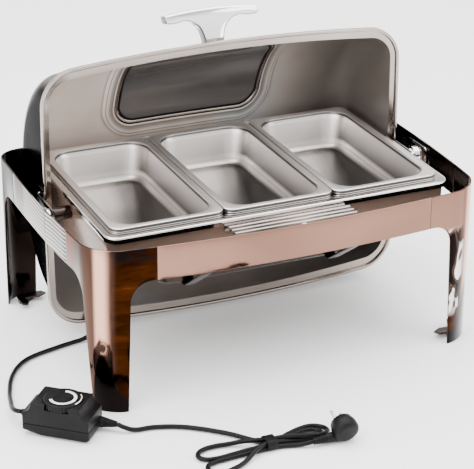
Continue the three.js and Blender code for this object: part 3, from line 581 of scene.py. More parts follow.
def make_ridged_plate():
    """The front plate: painted highlights on its ridges, painted shade between them."""
    plate = Finish("ridged_steel", 0.85, 0.16)
    across = plate.math("WRAP", plate.math("ADD", plate.axis("Y"), 0.192), 0.0055)
    across.node.inputs[2].default_value = -0.0055
    ridge = plate.span(plate.math("ABSOLUTE", across, 0.0), 0.0012, 0.0026, 1.0, 0.0)
    shade_between_ridges = plate.ramp(plate.noise(12, 2.0, 0.5, 0.5), (0.35, (0.02, 0.015, 0.013)), (0.7, (0.16, 0.11, 0.09)))
    plate.colour(plate.mix(ridge, shade_between_ridges, (0.62, 0.57, 0.54)))
    plate.bump((plate.noise(200, 2.0, stretch=(0.05, 1, 1)), 0.03, 0.05))


def make_handle_chrome():
    """Chrome, painted darker on its sideways faces, as if they mirrored the dark of a room."""
    chrome = Finish("handle_chrome", 1.0, 0.05)
    side = chrome.math("ABSOLUTE", chrome.axis("X", "normal"), 0.0)
    side = chrome.math("ADD", side, chrome.math("MULTIPLY", chrome.noise(30, 2.0, 0.5, 1.0), 0.12))
    white = (0.93, 0.93, 0.94)
    # Dark bands of painted reflection on the sideways faces, with a painted highlight band among them.
    chrome.colour(chrome.ramp(side, (0.0, white), (0.5, white), (0.6, (0.07, 0.07, 0.075)),
                              (0.74, (0.03, 0.03, 0.032)), (0.82, (0.6, 0.6, 0.61)),
                              (0.95, (0.12, 0.12, 0.12))))
    chrome.roughness(chrome.noise(300, 2.0), 0.04, 0.08)
    chrome.bump((chrome.noise(14, 1.0), 0.1, 0.8))


def make_end_rail(pale, black):
    """Thin wavy bands of painted reflection along the end rails, in two panels either side of a seam, with
    painted shade to the rear.
    """
    rail = Finish("end_rail_bronze", 1.0, 0.1)
    sway = rail.noise(9, 1.0, 0.4, stretch=(1, 1, 0.2))
    height = rail.math("ADD", rail.math("MULTIPLY", rail.axis("Z"), 980.0), rail.math("MULTIPLY", sway, 22.0))
    bands = rail.span(rail.math("SINE", height, 0.0), -0.5, 0.6)
    panel = rail.ramp(bands, (0.0, scaled(pale, 0.06)), (0.35, scaled(pale, 0.6)), (1.0, pale))
    seam = rail.span(rail.math("ABSOLUTE", rail.math("ADD", rail.axis("Y"), 0.035), 0.0), 0.0012, 0.0022)
    # Painted shade towards the rear.
    rear = rail.span(rail.axis("Y"), 0.055, 0.075)
    rear_shade = rail.ramp(sway, (0.3, black), (0.7, (0.09, 0.05, 0.035)))
    rail.colour(rail.mix(seam, black, rail.mix(rear, panel, rear_shade)))
    rail.roughness(rail.noise(40, 2.0), 0.07, 0.16)
    rail.bump((rail.noise(9, 1.0), 0.2, 1.0))


def make_lid_outside(slate):
    """Polished steel dome, painted darker on its flat end walls, as if they mirrored something dark."""
    outside = Finish("lid_outside_steel", 1.0, 0.14, Specular_Tint=(0.4, 0.4, 0.4, 1))
    cloud = outside.noise(6, 3.0, 0.5, 0.4)
    wall = outside.span(outside.math("ABSOLUTE", outside.axis("X", "normal"), 0.0), 0.55, 0.93)
    dome = outside.ramp(cloud, (0.3, (0.26, 0.25, 0.25)), (0.7, (0.42, 0.40, 0.40)))
    dark = outside.ramp(cloud, (0.3, scaled(slate, 0.6)), (0.7, scaled(slate, 1.7)))
    outside.colour(outside.mix(wall, dome, dark))
    outside.roughness(outside.noise(300, 2.0, 0.6, stretch=(0.05, 1, 1)), 0.10, 0.18)
    outside.bump((outside.noise(6, 1.0), 0.1, 1.0))


def make_lid_inside(colour):
    inside = Finish("lid_inside_steel", 0.25, 0.36)
    # Swirls of painted reflection inside the lid.
    cloud = inside.noise(4.5, 3.0, 0.5, 0.4, stretch=(1.2, 1, 1.2))
    lines = inside.noise(420, 2.0, 0.6, stretch=(0.03, 1, 1))
    shade = inside.ramp(cloud, (0.3, scaled(colour, 0.66)), (0.5, scaled(colour, 0.95)),
                        (0.7, scaled(colour, 1.3)))
    # Painted shade: darker towards the right end and towards the bottom.
    side = inside.span(inside.axis("X"), 0.0, 0.26, 1.0, 0.2)
    under = inside.span(inside.axis("Z"), 0.12, 0.24, 0.3, 1.0)
    side = inside.math("MULTIPLY", side, under)
    shade = inside.mix(1.0, shade, inside.ramp(side, (0.0, (0, 0, 0)), (1.0, (1, 1, 1))), "MULTIPLY")
    # Painted highlights and shade round the window's pressed panel.
    ring = window_ring(inside)
    shade = inside.mix(1.0, shade, ring, "MULTIPLY")
    streak = inside.ramp(lines, (0.3, (0.93, 0.93, 0.93)), (0.7, (1, 1, 1)))
    inside.colour(inside.mix(0.7, shade, streak, "MULTIPLY"))
    inside.roughness(lines, 0.28, 0.36)
    inside.bump((lines, 0.02, 0.03), (inside.noise(7, 1.0), 0.08, 1.0))


def window_ring(finish):
    """Painted light by the distance from the window's edge: a painted highlight on the lip, painted shade in
    the trough and a painted highlight on the bead.
    """
    place = LID_PLACE @ Matrix.Translation(WINDOW_CENTRE) @ Matrix.Rotation(WINDOW_TILT, 4, "X")
    node = finish.nodes.new("ShaderNodeMapping")
    node.vector_type = "TEXTURE"
    node.inputs["Location"].default_value = place.translation * MM
    node.inputs["Rotation"].default_value = place.to_euler()
    finish.join(finish.place, node.inputs["Vector"])

    def vector(operation, value, operand=None):
        step = finish.nodes.new("ShaderNodeVectorMath")
        step.operation = operation
        finish.join(value, step.inputs[0])
        if operand is not None:
            step.inputs[1].default_value = operand
        return step.outputs["Value" if operation == "LENGTH" else "Vector"]

    local = vector("ABSOLUTE", node.outputs["Vector"])
    corner = [(half - WINDOW_RADIUS) * MM for half in WINDOW_HALF]
    flat = vector("MULTIPLY", vector("MAXIMUM", vector("SUBTRACT", local, (*corner, 0)), (0, 0, 0)),
                  (1, 1, 0))
    away = finish.math("SUBTRACT", vector("LENGTH", flat), WINDOW_RADIUS * MM)
    split = finish.nodes.new("ShaderNodeSeparateXYZ")
    finish.join(local, split.inputs["Vector"])
    far = finish.span(split.outputs["Z"], 0.06, 0.065, 0.0, 0.03)
    away = finish.math("ADD", away, far)
    ring_light_and_shade = [(0.0, 0.9), (0.08, 1.0), (0.13, 0.22), (0.30, 0.40), (0.42, 0.85), (0.50, 0.9), (0.54, 0.3),
            (0.60, 1.0), (0.70, 1.0), (0.76, 0.45), (0.86, 0.8)]
    share = finish.math("DIVIDE", away, 0.028, clamp=True)
    return finish.ramp(share, *[(at, (tone,) * 3) for at, tone in ring_light_and_shade])


# Frame nodes whose shape is right as it is: they get a finish, and a small round on their edges.
NODE_FINISHES = {
    "dark_steel": ["heater_housing", "heater_strap_left", "heater_strap_right", "spacer_tube_left",
                   "spacer_tube_right", "foot_clip_front_left", "foot_clip_front_right",
                   "foot_clip_rear_left", "foot_clip_rear_right"],
    "lid_outside_steel": ["hinge_ear_left", "hinge_ear_right"],
    "chrome": ["pivot_bracket_left", "pivot_bracket_right", "pivot_bolt_left", "pivot_bolt_right",
               "support_plate_screw", "handle_screw_left", "handle_screw_right", "ear_rivet_lower_left",
               "ear_rivet_lower_right", "ear_rivet_upper_left", "ear_rivet_upper_right"],
    "ridged_steel": ["front_support_plate"],
    "carrier_steel": ["carrier_frame"],
    "cast_alloy": ["heating_plate"],
    "black_rubber": ["housing_gland"],
}


class CHAFER_OT_finishes(bpy.types.Operator):
    """Makes the finishes and puts them on the frame nodes that stay"""

    bl_idname = "chafer.finishes"
    bl_label = "Finishes"

    def execute(self, context):
        make_finishes(context.scene.chafer_finishes)
        for finish, names in NODE_FINISHES.items():
            for name in names:
                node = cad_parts[name]
                for slot in node.material_slots:
                    slot.material = FINISHES[finish]
                for face in node.data.polygons:
                    face.use_smooth = True
                weld = node.modifiers.new("Weld", "WELD")
                weld.merge_threshold = 1e-5
                rounding = node.modifiers.new("Round", "BEVEL")
                rounding.width, rounding.segments, rounding.limit_method = 0.35 * MM, 2, "ANGLE"
                rounding.angle_limit = math.radians(32)
                split = node.modifiers.new("Split", "EDGE_SPLIT")
                split.split_angle = math.radians(34)
        return {"FINISHED"}


# ---- camera and stage ----
class CHAFER_OT_camera(bpy.types.Operator):
    """Makes the camera"""

    bl_idname = "chafer.camera"
    bl_label = "Camera"

    def execute(self, context):
        lens = bpy.data.cameras.new("camera")
        lens.lens, lens.sensor_width = 136.6, 36.0
        lens.clip_start, lens.clip_end = 0.05, 60.0
        eye = bpy.data.objects.new("camera", lens)
        across = Vector((0.9137, -0.4064, 0.0054)).normalized()
        look = Vector((0.37212, 0.83116, -0.41315)).normalized()
        rise = across.cross(look).normalized()
        across = look.cross(rise).normalized()
        turn = Matrix((across, rise, -look)).transposed().to_4x4()
        eye.matrix_world = Matrix.Translation((-1.0465, -2.3403, 1.3070)) @ turn
        context.scene.collection.objects.link(eye)
        context.scene.camera = eye
        return {"FINISHED"}


def soft_light(name, location, target, size, watts, colour=(1, 1, 1)):
    light = bpy.data.lights.new(name, "AREA")
    light.shape, light.size, light.size_y = "RECTANGLE", size[0], size[1]
    light.energy, light.color = watts, colour
    lamp = bpy.data.objects.new(name, light)
    lamp.location = location
    lamp.rotation_euler = (Vector(target) - Vector(location)).to_track_quat("-Z", "Y").to_euler()
    bpy.context.scene.collection.objects.link(lamp)


class CHAFER_OT_stage(bpy.types.Operator):
    """Makes the pale floor, the soft lights and the surroundings"""

    bl_idname = "chafer.stage"
    bl_label = "Stage"

    def execute(self, context):
        floor_finish = Finish("floor_paper", 0.0, 0.9)
        tone = floor_finish.noise(2.0, 2.0)
        floor_finish.colour(floor_finish.ramp(tone, (0.3, (0.975, 0.975, 0.975)),
                                              (0.7, (0.985, 0.985, 0.985))))
        bm = bmesh.new()
        bmesh.ops.create_grid(bm, x_segments=4, y_segments=4, size=9.0)
        bmesh.ops.translate(bm, vec=(0, 0, -0.0005), verts=bm.verts)
        mesh = bpy.data.meshes.new("floor")
        bm.to_mesh(mesh)
        bm.free()
        floor = bpy.data.objects.new("floor", mesh)
        mesh.materials.append(floor_finish.material)
        context.scene.collection.objects.link(floor)
        soft_light("top_light", (0.0, 0.3, 2.6), (0, 0, 0.2), (3.6, 3.0), 150)
        soft_light("left_light", (-2.6, -1.2, 1.6), (0, 0, 0.25), (3.0, 2.4), 90)
        soft_light("right_light", (2.4, -2.0, 1.8), (0, 0, 0.2), (2.6, 2.4), 60)
        world = bpy.data.worlds.new("surroundings")
        world.use_nodes = True
        context.scene.world = world
        nodes, links = world.node_tree.nodes, world.node_tree.links
        place = nodes.new("ShaderNodeTexCoord").outputs["Generated"]
        split = nodes.new("ShaderNodeSeparateXYZ")
        links.new(place, split.inputs["Vector"])
        ramp = nodes.new("ShaderNodeValToRGB")
        stops = ((0.0, 0.95), (0.52, 1.0), (0.60, 0.85), (0.70, 0.35), (0.80, 0.75), (0.92, 1.0))
        bar = ramp.color_ramp.elements
        while len(bar) < len(stops):
            bar.new(0.5)
        for element, (position, value) in zip(bar, stops):
            element.position, element.color = position, (value, value * 0.99, value * 0.98, 1)
        lift = nodes.new("ShaderNodeMapRange")
        lift.inputs["From Min"].default_value = -1.0
        links.new(split.outputs["Z"], lift.inputs["Value"])
        links.new(lift.outputs["Result"], ramp.inputs["Fac"])
        links.new(ramp.outputs["Color"], nodes["Background"].inputs["Color"])
        nodes["Background"].inputs["Strength"].default_value = 2.6
        return {"FINISHED"}


# ---- cords ----
BOX_TURN = math.radians(-41)
BOX_PLACE = Matrix.Translation((-369, -227, 0)) @ Matrix.Rotation(BOX_TURN, 4, "Z")
BOX_HALF = 50.0
GAP = 0.3
LONG_GLAND = 24.0
SHORT_GLAND = 10.0
MAINS_SIDE = (20.0, 12.0)
LEAD_SIDE = (-2.0, 21.0)
HOUSING_END = -170.0
FLOOR_RUN = 4.0


def in_box(x, y, z):
    return tuple(BOX_PLACE @ Vector((x, y, z)))


HEATER_ROUTE = [
    in_box(-BOX_HALF - SHORT_GLAND - 1.5, *LEAD_SIDE), (-421.6, -181.4, 19.9), (-423.2, -172, 17.6),
    (-421.5, -157, 13.8), (-417, -138, 10), (-412, -116, 6), (-404, -90, FLOOR_RUN), (-395, -66, FLOOR_RUN),
    (-383, -44, FLOOR_RUN), (-370, -27, FLOOR_RUN), (-354, -13, FLOOR_RUN), (-335, -4, FLOOR_RUN),
    (-311, 3, FLOOR_RUN), (-288, 9, FLOOR_RUN), (-266, 13.5, FLOOR_RUN), (-252.5, 14.6, 5.4),
    (-241, 15, 10.5), (-232.5, 15, 19.8), (-228, 14.5, 33), (-226.3, 13.6, 52), (-225.8, 12, 80),
    (-224.6, 11, 100), (-223.3, 10.5, 114), (-221.2, 10, 124.9), (-215.3, 10, 134), (-206.2, 10, 140),
    (HOUSING_END - LONG_GLAND - 1.5, 10, 142),
]
# Five strands pass through the tie: three on the table, two above them.
MAINS_ROUTE = [
    in_box(BOX_HALF + LONG_GLAND + 1.5, *MAINS_SIDE), in_box(BOX_HALF + 35, 20, 9), (-280, -272.5, 5),
    (-252, -276, 4), (-221, -287, 4), (-192, -306, 4), (-170, -325, 4), (-155, -340, 4), (-145, -352.5, 4),
    (-135.5, -364.5, 4), (-126, -373, 4), (-114, -376.8, 4), (-99, -374.5, 4), (-80, -367.5, 4),
    (-61, -362, 4), (-44, -361.5, 4), (-32, -368.5, 4), (-27.8, -379.5, 4.6), (-32.5, -390, 6.5),
    (-44.5, -396, 9), (-61, -394.8, 11), (-80, -389.5, 11.5), (-100, -384.5, 11.5), (-120, -382, 11),
    (-136, -377, 10.8), (-153, -368.5, 8), (-172, -361.5, 4.6), (-192, -358.5, 4), (-209, -360.5, 4),
    (-220.5, -368, 4), (-222.8, -378, 4), (-216, -386, 4), (-201, -389.5, 4), (-180, -388.5, 4),
    (-157, -386.5, 4), (-138, -386.3, 4), (-120, -385.2, 4), (-101, -381.2, 4), (-82, -375, 4),
    (-64, -369.8, 4), (-50.5, -370, 4), (-41, -376, 4), (-38.6, -384.5, 4), (-45, -391.8, 4), (-57, -394, 4),
    (-72, -391.8, 4), (-88, -389, 5), (-103, -389, 8), (-120, -390.3, 11), (-134, -394, 11.3),
    (-149, -401, 9.5), (-162, -409, 5.5), (-175, -416.5, 4), (-190, -423, 4), (-206, -425.8, 4),
    (-218.5, -421.5, 4), (-223.4, -412, 4), (-219.5, -402.5, 4), (-208.5, -397.6, 4), (-190, -395.8, 4),
    (-165, -394.4, 4), (-140, -393.8, 4), (-120, -393.8, 4), (-101, -396.5, 4), (-84, -401.5, 4),
    (-72, -406, 6.2), (-62, -408.5, 8.6),
]


def lead(name, route, radius, replaced):
    """A round lead along given points."""
    curve = bpy.data.curves.new(name, "CURVE")
    curve.dimensions, curve.bevel_depth, curve.bevel_resolution = "3D", radius * MM, 5
    curve.resolution_u, curve.use_fill_caps = 10, True
    run = curve.splines.new("BEZIER")
    run.bezier_points.add(len(route) - 1)
    for point, place in zip(run.bezier_points, route):
        point.co = Vector(place) * MM
        point.handle_left_type = point.handle_right_type = "AUTO"
    piece = bpy.data.objects.new(name, curve)
    bpy.context.scene.collection.objects.link(piece)
    curve.materials.append(FINISHES["black_sleeve"])
    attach(piece, "stand")
    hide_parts(*replaced)
    return piece


def gland_mesh(length, ribs, place):
    """A tapered strain relief with rings, from its flange at z = 0."""
    profile = [(0, 0), (8, 0), (8, length * 0.12), (7.4, length * 0.2)]
    for i in range(ribs):
        low = length * (0.24 + 0.68 * i / ribs)
        high = length * (0.24 + 0.68 * (i + 0.62) / ribs)
        width = 7.2 - 2.2 * i / max(1, ribs - 1)
        profile += [(width, low), (width, high), (width - 1.0, high + 0.2),
                    (width - 1.0, low + length * 0.64 / ribs)]
    profile += [(4.7, length * 0.96), (4.4, length), (0, length)]
    return turned(profile, 32, place)


class CHAFER_OT_cords(bpy.types.Operator):
    bl_idname = "chafer.cords"
    bl_label = "Leads"

    def execute(self, context):
        radius = mm(context.scene.chafer_cords.diameter) / 2
        lead("heater_lead_cord", HEATER_ROUTE, radius, ["heater_lead"])
        lead("mains_lead_cord", MAINS_ROUTE, radius, ["mains_lead", "cord_hank"])
        out = Matrix.Rotation(math.pi / 2, 4, "Y")
        back = Matrix.Rotation(-math.pi / 2, 4, "Y")
        mains = BOX_PLACE @ Matrix.Translation((BOX_HALF + GAP, *MAINS_SIDE)) @ out
        finish_piece(gland_mesh(LONG_GLAND, 6, mains), "mains_strain_relief", ["black_rubber"], "stand",
                     ["mains_gland"])
        short = BOX_PLACE @ Matrix.Translation((-BOX_HALF - GAP, *LEAD_SIDE)) @ back
        finish_piece(gland_mesh(SHORT_GLAND, 2, short), "heater_strain_relief", ["black_rubber"], "stand",
                     ["heater_lead_gland"])
        self.tie()
        return {"FINISHED"}

    def tie(self):
        """A flat strap round the five strands at the waist of the hank."""
        centre, low, high = Vector((0, -386.4, 8.2)), -128.0, -112.0
        place = Matrix.Translation(centre) @ Matrix(((0, 0, 1), (1, 0, 0), (0, 1, 0))).to_4x4()
        loops = []
        for x, inset in ((low, 0.0), (high, 0.0), (high, 1.0), (low, 1.0)):
            loops.append(bowed_loop(12.9 - inset, 8.1 - inset * 0.5, 6.6 - inset * 0.5, x, steps=(2, 8, 3)))
        bm = loft(bmesh.new(), loops, ring=True)
        tidy_mesh(bm)
        round_edges(bm, sharp_edges(bm, 50), 0.35)
        finish_piece(bm, "hank_tie", ["black_rubber"], "stand", ["cable_tie"], place=place)


# ---- stand ----
class PlanCurve:
    """The stand's outer face seen from above, as a run with its length along it."""

    def __init__(self, points):
        self.points = points
        self.along = [0.0]
        for a, b in zip(points, points[1:]):
            self.along.append(self.along[-1] + (b - a).length)
        self.length = self.along[-1]
        tangents = [(points[min(i + 1, len(points) - 1)] - points[max(i - 1, 0)]).normalized()
                    for i in range(len(points))]
        self.inward = [Vector((-t.y, t.x)) for t in tangents]

    def at(self, s, depth):
        i = max(0,
                min(len(self.along) - 2,
                    next((k for k, a in enumerate(self.along) if a > s), len(self.along) - 1)
                       - 1))
        t = (s - self.along[i]) / (self.along[i + 1] - self.along[i])
        return self.points[i].lerp(self.points[i + 1], t) + self.inward[i].lerp(self.inward[i + 1], t) * depth

    def where(self, axis, value):
        """The length at which the curve's coordinate passes value."""
        for i in range(len(self.points) - 1):
            a, b = self.points[i][axis], self.points[i + 1][axis]
            if (a - value) * (b - value) <= 0 and a != b:
                return self.along[i] + (self.along[i + 1] - self.along[i]) * (value - a) / (b - a)
        return 0.0 if abs(self.points[0][axis] - value) < abs(self.points[-1][axis] - value) else self.length


def bent_sheet(outline, curve, thickness, step=4.0, round_width=0.7):
    """A flat sheet with round edges, bent along a plan curve. Its inner face gets the second finish."""
    bm = prism(outline, 0.0, thickness, "Y")
    bm.normal_update()
    rim = [e for e in bm.edges if e.calc_face_angle(0.0) > math.radians(60) and
           any(abs(f.normal.y) > 0.9 for f in e.link_faces)]
    round_edges(bm, rim, round_width)
    cuts = int(curve.length / step)
    for i in range(1, cuts):
        at = curve.length * i / cuts
        bmesh.ops.bisect_plane(bm, geom=bm.verts[:] + bm.edges[:] + bm.faces[:], plane_co=(at, 0, 0),
                               plane_no=(1, 0, 0), dist=1e-4)
    bm.normal_update()
    for face in bm.faces:
        face.material_index = 1 if face.calc_center_median().y > thickness * 0.95 else 0
    for v in bm.verts:
        place = curve.at(v.co.x, v.co.y)
        v.co = Vector((place.x, place.y, v.co.z))
    return bm


def arc(centre, radius, start, stop, steps):
    return [(centre[0] + radius * math.cos(math.radians(start + (stop - start) * i / steps)),
             centre[1] + radius * math.sin(math.radians(start + (stop - start) * i / steps)))
            for i in range(steps + 1)]


SEAM_X = 219.15
SEAM_Y = 118.15
SCALLOP = 32.0
WING_SIDE = (258.0, 264.0)
WING_END = (172.0, 186.0)


class CHAFER_OT_stand(bpy.types.Operator):
    """Makes the rails and the four legs from bent sheet"""

    bl_idname = "chafer.stand"
    bl_label = "Stand"

    def execute(self, context):
        sizes = context.scene.chafer_stand
        self.half_x, self.half_y, self.top = mm(sizes.half_length), mm(sizes.half_width), mm(sizes.top)
        self.low, self.sheet = self.top - mm(sizes.rail_height), mm(sizes.sheet)
        self.side_bow = mm(sizes.side_bow)
        for end, sign_y in (("front", -1), ("rear", 1)):
            bow = mm(sizes.end_bow if sign_y < 0 else sizes.rear_end_bow)
            radius = mm(sizes.front_radius if sign_y < 0 else sizes.rear_radius)
            self.long_rail(end, sign_y)
            for side, sign_x in SIDES:
                self.leg(end, side, sign_x, sign_y, bow, radius)
        for side, sign_x in SIDES:
            self.end_rail(side, sign_x, mm(sizes.end_bow), mm(sizes.rear_end_bow))
        return {"FINISHED"}

    def placed(self, bm, name, node, finish, sign_x, sign_y):
        bmesh.ops.scale(bm, vec=(sign_x, sign_y, 1), verts=bm.verts)
        tidy_mesh(bm)
        finish_piece(bm, name, [finish, "inner_bronze"], "stand", [node], sharp=40)

    def long_rail(self, end, sign_y):
        half = SEAM_X - GAP
        xs = [half * (1 - i / 30) for i in range(61)]
        curve = PlanCurve([Vector((x, self.half_y - self.side_bow * (x / self.half_x) ** 2)) for x in xs])
        outline = [(0, self.low), (curve.length, self.low), (curve.length, self.top), (0, self.top)]
        self.placed(bent_sheet(outline, curve, self.sheet, 12.0), f"{end}_rail_sheet", f"{end}_rail",
                    "rail_bronze", 1, sign_y)

    def end_rail(self, side, sign_x, front_bow, rear_bow):
        half = SEAM_Y - GAP
        ys = [half * (i / 20 - 1) for i in range(41)]
        curve = PlanCurve([Vector((self.half_x - (rear_bow if y > 0 else front_bow) * (y / self.half_y) ** 2,
                                   y))
                           for y in ys])
        outline = [(0, self.low), (curve.length, self.low), (curve.length, self.top), (0, self.top)]
        self.placed(bent_sheet(outline, curve, self.sheet, 12.0), f"end_rail_{side}_sheet",
                    f"end_rail_{side}", "end_rail_bronze", sign_x, 1)

    def leg(self, end, side, sign_x, sign_y, bow, radius):
        plan = bowed_quadrant(self.half_x, self.half_y, bow, self.side_bow, radius, 24, 24, 24)
        plan = [p for p in plan if p.x > SEAM_X and p.y > SEAM_Y]
        first = Vector((self.half_x - bow * (SEAM_Y / self.half_y) ** 2, SEAM_Y))
        last = Vector((SEAM_X, self.half_y - self.side_bow * (SEAM_X / self.half_x) ** 2))
        curve = PlanCurve([first, *plan, last])
        foot_end, neck_end = curve.where(1, WING_END[1]), curve.where(1, WING_END[0])
        foot_side, neck_side = curve.where(0, WING_SIDE[1]), curve.where(0, WING_SIDE[0])
        outline = [(0, self.top), (0, self.low)]
        outline += arc((neck_end - SCALLOP, self.low - SCALLOP), SCALLOP, 90, 0, 14)
        outline += [(foot_end, 0), (foot_side, 0)]
        outline += arc((neck_side + SCALLOP, self.low - SCALLOP), SCALLOP, 180, 90, 14)
        outline += [(curve.length, self.low), (curve.length, self.top)]
        self.placed(bent_sheet(outline, curve, self.sheet), f"leg_{end}_{side}_sheet", f"leg_{end}_{side}",
                    f"leg_bronze_{end}_{side}", sign_x, sign_y)


# ---- pans ----
class CHAFER_OT_pans(bpy.types.Operator):
    """Makes the three food pans and the water pan"""

    bl_idname = "chafer.pans"
    bl_label = "Pans"

    def execute(self, context):
        sizes = context.scene.chafer_pans
        half_x, half_y = mm(sizes.half_length), mm(sizes.half_width)
        rim, floor = mm(sizes.rim), mm(sizes.rim) - mm(sizes.depth)
        under = [(30, 24, floor), (24.6, 26, floor + 0.6), (21, 28, floor + 3), (19, 30, floor + 8),
                 (14, 33, rim - 12), (12.0, 34, rim - 4), (11.0, 34, rim - 2), (9.4, 34, rim - 1.2),
                 (2.2, 15.4, rim - 1.2), (1.3, 15, rim - 2), (1.2, 15, rim - 5.8)]
        over = [(0, 16, rim - 5.8), (0, 16, rim - 1.9), (0.25, 15.8, rim - 1.0), (0.9, 15.4, rim - 0.3),
                (1.9, 15, rim), (8.0, 30, rim), (9.3, 33, rim - 0.15), (10.6, 33, rim - 0.8),
                (11.6, 32.5, rim - 2.0), (12.3, 32, rim - 3.6), (12.9, 31.6, rim - 6),
                (17.6, 29.5, floor + 15), (18.7, 29, floor + 10.5), (20.2, 28, floor + 7),
                (22.2, 26.5, floor + 4.2), (24.8, 25, floor + 2.3), (28, 23, floor + 1.4),
                (32, 20, floor + 1.2), (52, 12, floor + 1.5)]
        for i, name in enumerate(("left", "middle", "right")):
            loops = [bowed_loop(half_x - a, half_y - a, r, z, steps=(6, 12, 3)) for a, r, z in under + over]
            bm = loft(bmesh.new(), loops, cap_first=True, cap_last=True)
            tidy_mesh(bm)
            place = Matrix.Translation((mm(sizes.pitch) * (i - 1), 0, 0))
            finish_piece(bm, f"food_pan_{name}_sheet", ["satin_steel"], f"food_pan_{name}",
                         [f"food_pan_{name}"], 42, place)
        self.water_pan()
        return {"FINISHED"}

    def water_pan(self):
        half_x, half_y, well_x, well_y, rim, floor = 276.0, 179.0, 259.0, 157.0, 258.6, 172.0
        loops = []
        for x, y, r, z in (
                (well_x - 14, well_y - 14, 18, floor), (well_x - 8, well_y - 8, 21, floor + 0.8),
                (well_x - 4, well_y - 4, 23, floor + 3.5), (well_x - 2.5, well_y - 2.5, 24, floor + 9),
                (well_x, well_y, 26, rim - 7), (well_x + 1, well_y + 1, 26, rim - 3),
                (well_x + 3, well_y + 3, 26, rim - 1.5), (half_x - 3, half_y - 3, 20, rim - 1.5),
                (half_x - 1.6, half_y - 1.6, 20, rim - 2.6), (half_x - 1.5, half_y - 1.5, 20, rim - 9),
                (half_x, half_y, 22, rim - 9), (half_x, half_y, 22, rim - 2.6),
                (half_x - 0.5, half_y - 0.5, 22, rim - 1), (half_x - 1.3, half_y - 1.3, 21, rim - 0.3),
                (half_x - 2.6, half_y - 2.6, 21, rim), (well_x + 2, well_y + 2, 26, rim),
                (well_x - 0.6, well_y - 0.6, 25, rim - 1), (well_x - 1.5, well_y - 1.5, 25, rim - 4),
                (well_x - 4, well_y - 4, 23, floor + 10), (well_x - 5.6, well_y - 5.6, 22, floor + 5),
                (well_x - 9, well_y - 9, 20, floor + 2.2), (well_x - 15, well_y - 15, 17, floor + 1.5)):
            loops.append(bowed_loop(x, y, r, z, steps=(6, 10, 6)))
        bm = loft(bmesh.new(), loops, cap_first=True, cap_last=True)
        tidy_mesh(bm)
        finish_piece(bm, "water_pan_sheet", ["polished_steel"], "water_pan", ["water_pan"],
                     42)


# ---- lid ----
RIM_RISE = 36.0
DOME_BASE = 44.0
DOME_POWER = 2.05
DOME_BOW = (2.0, 17.0)
DOME_RADIUS = 34.0
DOME_CROWN = 8.0
PRESS_EDGE = (15.0, 24.0)


class Dome:
    """The lid's dome at a depth under its outer face, closed lid about the pivot axis."""

    def __init__(self, sizes, depth, base):
        self.half_x, self.half_y = mm(sizes.half_length) - depth, mm(sizes.half_width) - depth
        self.radius, self.height, self.base = DOME_RADIUS - depth, mm(sizes.height) - depth, base
        self.press, self.arch_steps, self.side_steps = mm(sizes.press), sizes.arch_steps, sizes.side_steps

    def side_at(self, x):
        return self.half_y - DOME_BOW[1] * (x / self.half_x) ** 2

    def height_at(self, x):
        return self.height - DOME_CROWN * (x / self.half_x) ** 2

    def base_loop(self):
        return bowed_loop(self.half_x, self.half_y, self.radius, self.base, DOME_BOW,
                          (8, 14, self.side_steps))

    def arches(self):
        loop = self.base_loop()
        half = len(loop) // 2
        corner_x = loop[8].x
        corner_y = self.half_y - DOME_BOW[1] - self.radius
        corner_top = self.height_at(corner_x) - (self.side_at(corner_x) - corner_y)
        rows = []
        for column in range(half + 1):
            x, y = loop[column].x, max(0.0, loop[column].y)
            top = (self.height_at(x) - (self.side_at(x) - y) if y >= corner_y - 1e-6
                   else corner_top * y / corner_y)
            row = []
            for i in range(self.arch_steps + 1):
                angle = math.pi * i / self.arch_steps
                c, s = math.cos(angle), math.sin(angle)
                along = math.copysign(abs(c) ** (2 / DOME_POWER), c)
                row.append(self.pressed(Vector((x, -y * along,
                                                self.base + top * max(0.0, s) ** (2 / DOME_POWER)))))
            rows.append(row)
        return rows

    def pressed(self, point):
        """Moves a point of the panel round the window inwards."""
        turn = Matrix.Rotation(-WINDOW_TILT, 3, "X")
        local = turn @ (point - WINDOW_CENTRE)
        if abs(local.z) > 60 or point.y > 0:
            return point
        q = Vector((abs(local.x) - WINDOW_HALF[0] + WINDOW_RADIUS,
                    abs(local.y) - WINDOW_HALF[1] + WINDOW_RADIUS))
        away = Vector((max(q.x, 0), max(q.y, 0))).length + min(max(q.x, q.y), 0) - WINDOW_RADIUS
        t = max(0.0, min(1.0, (PRESS_EDGE[1] - away) / (PRESS_EDGE[1] - PRESS_EDGE[0])))
        inwards = turn.transposed() @ Vector((0, 0, -1))
        return point + inwards * self.press * t * t * (3 - 2 * t)

    def on_window(self, x, slope, depth):
        """The dome's place under a point of the window's outline, at a depth below the face."""
        turn = Matrix.Rotation(WINDOW_TILT, 3, "X")
        outwards = turn @ Vector((0, 0, 1))
        start = WINDOW_CENTRE + turn @ Vector((x, slope, 0))
        low, high = -70.0, 60.0
        for _ in range(32):
            middle = (low + high) / 2
            p = start + outwards * middle
            inside = (abs(p.y) / self.side_at(p.x)) ** DOME_POWER + (
                abs(p.z - self.base) / self.height_at(p.x)) ** DOME_POWER < 1
            low, high = (middle, high) if inside else (low, middle)
        return start + outwards * (low - depth - self.press)


def window_outline(inset, steps=(6, 10, 10)):
    return bowed_loop(WINDOW_HALF[0] - inset, WINDOW_HALF[1] - inset, max(4.0, WINDOW_RADIUS - inset * 0.6),
                      0, steps=steps)


